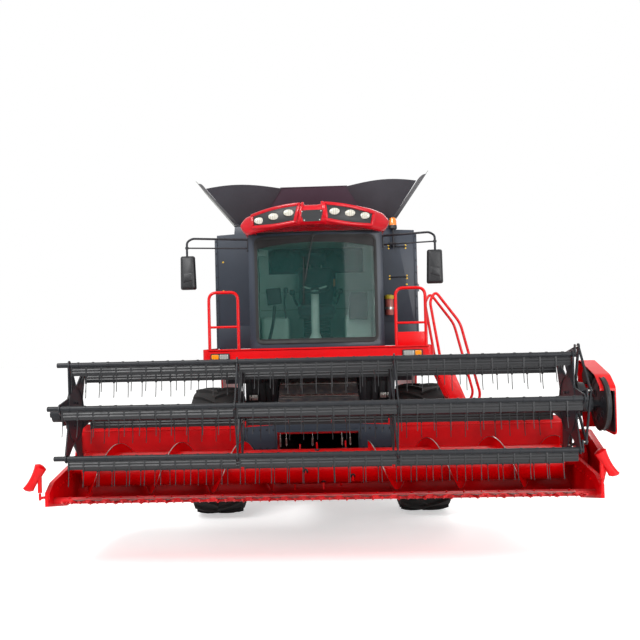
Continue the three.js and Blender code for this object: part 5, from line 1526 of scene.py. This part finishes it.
def on_side(side, reach, along, lift=0.0):
    lean = LEANS[side]
    return Vector((side * (SIDE_HINGE[0] + reach * cos(lean) - lift * sin(lean)), TANK_MIDDLE + along,
                   SIDE_HINGE[1] + reach * sin(lean) + lift * cos(lean)))


def on_end(end, reach, across, lift=0.0):
    lean = LEANS[0]
    hinge = 510 if end < 0 else 2220
    return Vector((across, hinge + end * (reach * cos(lean) - lift * sin(lean)),
                   END_HINGE[1] + reach * sin(lean) + lift * cos(lean)))


def flap_board(piece, spot, half_at, half_free, reach, finish, ribs):
    """A tapered board with a folded rim; spot gives the place of (reach, along, lift)."""
    corners = [(12, -half_at), (12, half_at), (reach, half_free), (reach, -half_free)]
    push = spot(100, 0, 5) - spot(100, 0, 0)
    piece.slab([spot(r, a, 1) for r, a in corners], push, finish, 1.5)
    up = push.normalized()
    piece.sweep([spot(r, a, 3) for r, a in corners], rect(-8, -2, 8, 5), finish, True, up)
    for i in range(ribs):
        share = (i + 0.5) / ribs * 2 - 1
        line = [spot(30, share * half_at * 0.94, 6), spot(reach - 26, share * half_free * 0.94, 6)]
        piece.sweep(line, [(-9, -2), (9, -2), (5, 2), (-5, 2)], finish, upright=up)
    for share in (-0.6, 0.0, 0.6):
        at = spot(16, share * half_at, 3)
        along = (spot(16, 1, 3) - spot(16, 0, 3)).normalized()
        piece.turned(rect(0, -70, 7, 70), at, along, polished_steel, 12)


for side, name in ((1, "left"), (-1, "right")):
    board = Piece(f"tank_flap_{name}_board")
    flap_board(board, lambda r, a, l: on_side(side, r, a, l), 780, 480, 806, grey_enamel, 4)
    board.settle(f"tank_flap_{name}", "grey_paint", [f"tank_flap_{name}"])
for end, name in ((-1, "front"), (1, "rear")):
    board = Piece(f"tank_flap_{name}_board")
    flap_board(board, lambda r, a, l: on_end(end, r, a, l), 700, 405, 516, plum_enamel, 6)
    board.settle(f"tank_flap_{name}", "dark_blue_paint", [f"tank_flap_{name}"])

# %% Corner cloths


CLOTH_ACROSS, CLOTH_UP = 13, 11


def corner_cloth(name, root, outer, low, top, lift, sag):
    """Half a corner's cloth: from the fold root-outer to the flap's edge low-top."""
    piece = Piece(name)
    rows = []
    face = (low - root).cross(outer - root).normalized() * sag
    for j in range(CLOTH_UP):
        v = j / (CLOTH_UP - 1)
        row = []
        for i in range(CLOTH_ACROSS):
            u = i / (CLOTH_ACROSS - 1)
            inner, far = root.lerp(outer, v), low.lerp(top, v)
            spot = inner.lerp(far, u) + face * sin(pi * u) * sin(pi * v * 0.9)
            row.append(spot + Vector((0, 0, lift * v * v * sin(pi * (0.16 + 0.84 * u)))))
        rows.append(row)
    piece.skin(rows, 3, tank_canvas)
    made = piece.settle(None, "tank_cloth", ["tank_corner_gussets"])
    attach(made, "chassis")
    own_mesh(made)
    return made


cloths = []
for side, side_name in ((1, "left"), (-1, "right")):
    for end, end_name in ((-1, "front"), (1, "rear")):
        root = Vector((side * 958, TANK_MIDDLE + end * 830, 3528))
        outer = Vector((1268 if side > 0 else -1346, TANK_MIDDLE + end * 1040, 3950 if side > 0 else 3930))
        cloths.append(corner_cloth(
            f"corner_cloth_{end_name}_{side_name}_a", root, outer, on_end(end, 26, side * 688, -2),
            on_end(end, 514, side * 393, -2), 70, 12 * side * end))
        cloths.append(corner_cloth(
            f"corner_cloth_{end_name}_{side_name}_b", root, outer, on_side(side, 30, end * 790, 3),
            on_side(side, 760, end * 506, 3), 40, -12 * side * end))
rim = Piece("tank_rim_seal")
corners = rect(-1006, 482, 1006, 2248)
for a, b in zip(corners, corners[1:] + corners[:1]):
    rim.sweep([(a[0], a[1], 3504), (b[0], b[1], 3504)], rect(-12, -4, 12, 4), seal_rubber)
rim.settle("chassis", "tank_cloth")
print("cloths", len(cloths))

# %% [markdown]
# ## Wheels
# Drive tyres carry slanting rubber lugs in two rows that meet near the middle; steered tyres have
# shallower ones. Each lug follows the carcass's curve, and the round tree sets them about the axle.

# %% Tyres and rims


def tyre_lug(inner, outer, half, side, shift, wide, turn):
    """One slanting lug on top of the wheel, following the round of the carcass."""
    shape = Piece("lug")
    loops = []
    for k in range(6):
        t = k / 5
        x = side * (half * (-0.04 + 0.99 * t))
        top = outer - (outer - inner) * 0.55 * max(0.0, t - 0.72) / 0.28 - 4 * abs(t - 0.4)
        middle = shift * t ** 0.85 + turn
        points = []
        for offset, radius in ((-wide / 2 - 5, inner - 18), (-wide / 2, top),
                               (wide / 2, top), (wide / 2 + 5, inner - 18)):
            angle = (middle + offset) / outer
            points.append((x, radius * sin(angle), radius * cos(angle)))
        loops.append(points)
    shape.loft(loops, tyre_rubber)
    return shape


WHEELS = ((1200, 0, 750, 600, 420, 20, 36, "front"), (980, 3700, 525, 380, 260, 18, 22, "rear"))
for x, y, radius, width, seat_radius, count, deep, end in WHEELS:
    for side, side_name in ((1, "left"), (-1, "right")):
        name = f"{end}_wheel_{side_name}"
        wheel = Piece(name + "_tyre_and_rim")
        hub, half, c = (0.0, float(y), float(radius)), width / 2, radius - deep
        on_axle = {"Centre": (float(side * x), float(y), float(radius)), "Axle": (1.0, 0.0, 0.0)}
        carcass = [(seat_radius + 4, -half * 0.84), (seat_radius + 30, -half * 0.93),
                   (radius * 0.74, -half * 0.99),
                   (c - 60, -half * 0.98), (c - 26, -half * 0.94), (c - 8, -half * 0.8),
                   (c, -half * 0.5), (c + 2, 0)]
        carcass += [(r, -u) for r, u in carcass[-2::-1]]
        wheel.turned([(r, u + side * x) for r, u in carcass], hub, (1, 0, 0), tyre_rubber, 80)
        for row in (-1, 1):
            lug = tyre_lug(c, radius - 1, half * 0.94, row, radius * 0.24, 44 if end == "front" else 34,
                           0 if row < 0 else pi * radius / count)
            repeat(wheel, lug, ROUND, tyre_rubber, Count=count, **on_axle)
        for reach in (-half * 0.9, half * 0.9):
            wheel.turned([(radius * 0.7, side * x + reach), (radius * 0.72, side * x + reach * 1.1),
                          (radius * 0.74, side * x + reach)],
                         hub, (1, 0, 0), tyre_rubber, 64)
        disc = [(0, -22), (seat_radius * 0.3, -22), (seat_radius * 0.55, -16),
                (seat_radius * 0.66, 8), (seat_radius * 0.8, 30),
                (seat_radius - 12, 34), (seat_radius - 12, -half * 0.82),
                (seat_radius + 12, -half * 0.86), (seat_radius + 14, -half * 0.83),
                (seat_radius - 2, -half * 0.78), (seat_radius - 4, half * 0.78),
                (seat_radius + 14, half * 0.83),
                (seat_radius + 12, half * 0.86), (seat_radius - 12, half * 0.82),
                (seat_radius - 12, 48), (seat_radius * 0.8, 44),
                (seat_radius * 0.66, 22), (seat_radius * 0.55, -2), (seat_radius * 0.3, -8), (0, -8)]
        wheel.turned([(r, side * x + side * u) for r, u in disc], hub, (1, 0, 0), grey_enamel, 64)
        hub_size = seat_radius * 0.3
        wheel.turned([(0, side * x - side * 10), (hub_size, side * x - side * 10),
                      (hub_size * 0.92, side * x + side * 40),
                      (hub_size * 0.6, side * x + side * 62), (0, side * x + side * 64)],
                      hub, (1, 0, 0), cast_iron, 36)
        stud = bolt_head(28, 20, (side, 0, 0))
        stud.mesh.transform(Matrix.Translation((-side * 6.0, 0, seat_radius * 0.43)))
        repeat(wheel, stud, ROUND, yellow_zinc, Count=10, First_angle=0.1, **on_axle)
        wheel.settle(name, "tyre_rubber", [name], 40)

# %% [markdown]
# ## Side covers
# A cover is one pressed sheet, hinged along its top. Long swages stiffen it, and slots at the back
# let the fan breathe; they are drawn as black strips on the sheet, painted shade for the openings. It is
# latched at the bottom by two turn handles.

# %% Covers
for side, name in ((1, "left"), (-1, "right")):
    cover = Piece(f"side_cover_{name}_pressed")
    x = side * 1246
    flat = outline([(820, 1560), (900, 1240), (1020, 1160), (3150, 1160), (3560, 1420),
                    (3620, 1560), (3620, 2370), (3560, 2420), (860, 2420), (820, 2380)], 60, 4)
    cover.pressed(flat, ((0, x), (0, x + side * 15), (5, x + side * 21), (11, x + side * 23)), red_enamel,
                  facing_side)
    for z, y0, y1 in ((2230, 960, 3480), (1800, 960, 3480), (1400, 1060, 3200)):
        swage = outline(rect(y0, z - 26, y1, z + 26), 25, 6)
        cover.pressed(swage, ((0, x + side * 20), (2, x + side * 23.4), (12, x + side * 24)), red_enamel,
                      facing_side)
    # painted shade: each slot is a black strip standing on the face, not an opening
    slot_shape = Piece("slot")
    slot_shape.pressed(outline(rect(-11, -120, 11, 120), 10, 4),
                       ((0, 0), (0, side * 1.8)), black_plastic, facing_side)
    repeat(cover, slot_shape, ROW, black_plastic, Count=16, Start=(x + side * 22.2, 2700.0, 2015.0),
           Step=(0.0, 44.0, 0.0))
    cover.pressed(outline([(1050, 1900), (2450, 1900), (2500, 2040), (1050, 2120)], 30, 5),
                  ((0, x + side * 20), (2, x + side * 23), (8, x + side * 23.8)), deep_red_enamel, facing_side)
    for y in (1400, 2900):
        cover.turned([(0, 18), (28, 18), (28, 23), (0, 23.6)], (x, y, 1260), (side, 0, 0), black_plastic, 24)
    cover.settle(f"side_cover_{name}", "red_paint", [f"side_cover_{name}"])

# %% [markdown]
# ## Tank, engine hood and unloading tube
# The diesel tank is rotomoulded, with soft corners and two straps. The hood breathes through a
# round perforated screen on the right and louvres at the back.

# %% Fuel tank, screen, louvres and exhaust
fuel = Piece("fuel_tank_moulded")
fuel.pressed(outline(rect(2354, 2444, 3536, 2776), 50, 6),
             ((34, 922), (8, 934), (0, 960), (0, 1186), (8, 1212), (34, 1223)), tank_plastic, facing_side)
for y in (2640, 3240):
    ring = [(918.5, y, 2442), (918.5, y, 2778), (1224, y, 2778), (1224, y, 2442)]
    fuel.sweep(filleted(ring + [ring[0]], 20, 3)[:-1], rect(-20, -1, 20, 1), black_enamel, True, (0, 0, 1))
fuel.turned([(0, 2770), (58, 2770), (58, 2778), (0, 2779)], (1080, 2960, 0), (0, 0, 1), yellow_zinc, 32)
fuel.settle("chassis", "black_plastic", ["fuel_tank"])

hood = Piece("hood_screen_louvres_exhaust")
hub = (0, 2950, 2770)
hood.turned(rect(0, -955, 268, -951), hub, (1, 0, 0), black_enamel, 64)
for radius in (60, 110, 160, 210):
    hood.turned(rect(radius, -962, radius + 6, -955), hub, (1, 0, 0), black_enamel, 56)
spoke = Piece("spoke")
spoke.block((-961, -5, 40), (-955, 5, 268), black_enamel, 0)
repeat(hood, spoke, ROUND, black_enamel, Count=12, Centre=(0.0, 2950.0, 2770.0), Axle=(1.0, 0.0, 0.0))
hood.turned([(0, -966), (46, -966), (52, -955), (0, -955)], hub, (1, 0, 0), black_plastic, 32)
bar = Piece("louvre")
bar.along_x([(-8, -14), (20, -4), (20, 0), (-8, -10)], -500, 500, black_enamel, 0.8)
repeat(hood, bar, ROW, black_enamel, Count=9, Start=(0.0, 3604.0, 2580.0), Step=(0.0, 0.0, 34.0))
hood.turned(rect(66, 3100, 72, 3400), (450, 2700, 0), (0, 0, 1), polished_steel, 36)
# painted shade: the guard's slots are black strips on the tube, not openings
guard = Piece("slot")
guard.pressed(outline(rect(-6, -40, 6, 40), 5, 3), ((0, 71), (0, 73)), black_enamel)
repeat(hood, guard, ROUND, black_enamel, Count=14, Centre=(450.0, 2700.0, 3240.0), Axle=(0.0, 0.0, 1.0))
for x in (-600, -200, 200, 600):
    hood.along_x([(2440, 3118), (2440, 3126), (3410, 3126), (3410, 3118)], x - 20, x + 20, red_enamel, 1.5)
for y in (2480, 3400):
    bolt_row(hood, (900, y, 2500), (0, 0, 110), 5, (1, 0, 0), 16, black_enamel)
    bolt_row(hood, (-880, y, 2500), (0, 0, 110), 5, (-1, 0, 0), 16, black_enamel)
hood.settle("chassis", "black_paint")

# %% Unloading tube
unload = Piece("unloading_tube_with_spout")
x, y, z = 1185, 900, 2955
unload.turned([(0, 2736), (139, 2736), (139, 2752), (134, 2756), (134, 2940), (0, 2940)],
              (x, y, 0), (0, 0, 1), red_enamel, 40)
axis = Vector((0, 3830, 90)).normalized()
ball = [(136 * sin(pi * k / 12), -136 * cos(pi * k / 12)) for k in range(13)]
ball[0], ball[-1] = (0, -136), (0, 136)
unload.turned(ball, (x, y, z), (0, 0, 1), red_enamel, 40)
unload.turned(rect(0, 0, 134, 3800), (x, y, z), axis, red_enamel, 48)
for reach in (150, 1300, 2500, 3740):
    unload.turned(rect(132, reach - 10, 138, reach + 10), (x, y, z), axis, red_enamel, 48)
loops = []
for t, tall, wide, forward in ((0, 186, 138, -58), (0.25, 150, 140, 60), (0.5, 20, 138, 114),
                               (0.8, -150, 130, 118), (1, -226, 126, 118)):
    front = -58 if t < 0.2 else -52
    mz = z + tall
    loops.append([(x - wide, y + 3830 + front, mz), (x + wide, y + 3830 + front, mz),
                  (x + wide, y + 3830 + forward, mz - 10), (x - wide, y + 3830 + forward, mz - 10)])
unload.loft(loops, spout_rubber)
unload.settle("unloading_auger", "red_paint", ["unloading_auger"], 40)

# %% [markdown]
# ## Belts, pulleys and the rear
# Behind the covers, pulleys and belts drive the drums. At the back the straw hood has a hinged
# door with handles, tail lamps stand on its sides, and the chopper's vanes are bolted to its floor.

# %% Pulleys and belts
belts = Piece("side_pulleys_and_belts")
x = 850
for side in (-1, 1):
    wheels = (((1100, 1500), 190), ((1750, 1700), 240), ((2500, 1450), 150), ((3250, 1750), 210))
    if side < 0:
        wheels = (((1200, 1600), 240), ((2000, 1450), 170), ((2900, 1650), 260))
    for (y, z), radius in wheels:
        c = (0, y, z)
        half = [(radius, 24), (radius - 20, 24), (radius - 24, 4), (radius * 0.34, 4)]
        profile = [(0, x - 8), (radius * 0.3, x - 14)] + [(r, x - u) for r, u in half[::-1]]
        profile += [(radius - 12, x - 6), (radius - 12, x + 6)] + [(r, x + u) for r, u in half]
        profile += [(radius * 0.3, x + 14), (0, x + 10)]
        belts.turned([(r, side * reach) for r, reach in profile], c, (1, 0, 0), cast_iron, 44)
        belts.turned(rect(0, side * 640, 26, side * (x + 30)), c, (1, 0, 0), polished_steel, 20)
    for (first, r0), (second, r1) in zip(wheels, wheels[1:]):
        along = Vector((0, second[0] - first[0], second[1] - first[1]))
        turn = atan2(along.z, along.y)
        loop = []
        for (middle_y, middle_z), reach, start in ((first, r0 - 6, turn + pi / 2),
                                                   (second, r1 - 6, turn - pi / 2)):
            bend = [start + pi * k / 12 for k in range(13)]
            loop += [(side * x, middle_y + reach * cos(a), middle_z + reach * sin(a)) for a in bend]
        belts.sweep(loop, rect(-7, -9, 7, 9), seal_rubber, True, (1, 0, 0))
belts.settle("chassis", "cast_iron")

# %% Rear lamps, door and handles
rear = Piece("rear_lamps_and_fittings")
for side in (-1, 1):
    rear.block((side * 690 - 14, 3990, 2160), (side * 690 + 14, 4016, 2420), black_enamel, 3)
    for z, tint in ((2200, reflector), (2290, amber_lens), (2370, reflector)):
        rear.pressed(outline(rect(side * 700 - 34, z - 34, side * 700 + 34, z + 34), 20),
                     ((0, 4010), (0, 4030), (5, 4036)), tint)
    bolt_row(rear, (side * 680, 3760, 2500), (0, 90, -10), 5, (side, 0, 0), 18)
    bolt_row(rear, (side * 640, 700, 1200), (0, 260, 0), 11, (side, 0, 0), 20, black_enamel)
    bolt_row(rear, (side * 640, 700, 1900), (0, 200, 0), 8, (side, 0, 0), 20, black_enamel)
    rear.block((side * 640 - 2, 480, 1500), (side * 640 + 2, 3600, 1524), red_enamel, 1)
    for y in (900, 1900, 2900):
        rear.block((side * 640 - 6, y, 1110), (side * 640 + 6, y + 50, 1900), red_enamel, 2)
panel = [(-420, 4470, 2340), (420, 4470, 2340), (420, 4690, 2080), (-420, 4690, 2080)]
rear.slab(panel, (0, 6, 5), red_enamel, 2)
for x in (-300, 300):
    rear.tube([(x - 50, 4600, 2190), (x - 50, 4630, 2214), (x + 50, 4630, 2214), (x + 50, 4600, 2190)],
              8, black_plastic, 12, 10)
for x in (-500, -300, -100, 100, 300, 500):
    rear.along_x([(4800, 1300), (5020, 1216), (5028, 1226), (4808, 1330)], x + 10, x + 14, polished_steel, 0.8)
rear.along_y(rect(-690, 1440, 690, 1500), 4052, 4060, red_enamel, 2)
rear.tube([(-560, 3900, 1040), (-560, 4060, 1040), (-560, 4180, 1120)], 26, black_enamel, 40)
rear.tube([(560, 3900, 1040), (560, 4060, 1040), (560, 4180, 1120)], 26, black_enamel, 40)
rear.settle("chassis", "red_paint")

# %% Axle and engine fittings
axle = Piece("axle_and_engine_fittings")
for side in (-1, 1):
    axle.turned([(0, side * 560), (190, side * 560), (196, side * 600), (196, side * 660),
                 (150, side * 720), (0, side * 724)],
                (0, 0, 750), (1, 0, 0), black_enamel, 40)
    bolt_row(axle, (side * 600, -60, 955), (0, 60, 0), 3, (0, 0, 1), 24)
    bolt_row(axle, (side * 560, 300, 1000), (0, 400, 0), 9, (side, 0, 0), 22)
axle.block((-200, -150, 560), (200, 150, 620), black_enamel, 8)
axle.turned([(0, 0), (46, 0), (46, 26), (0, 30)], (0, 60, 562), (0, 0, -1), cast_iron, 24)
for k in range(6):
    axle.block((-280 + 120 * k, 2500, 2998), (-210 + 120 * k, 2620, 3030), cast_iron, 8)
axle.tube([(-300, 3340, 2700), (-300, 3440, 2760), (300, 3440, 2760), (300, 3340, 2700)], 34, cast_iron, 60)
axle.turned([(0, 2700), (70, 2700), (70, 2920), (60, 2930), (0, 2930)], (-180, 3440, 0),
            (0, 0, 1), black_enamel, 32)
axle.settle("chassis", "black_paint")

# %% Finish
import json
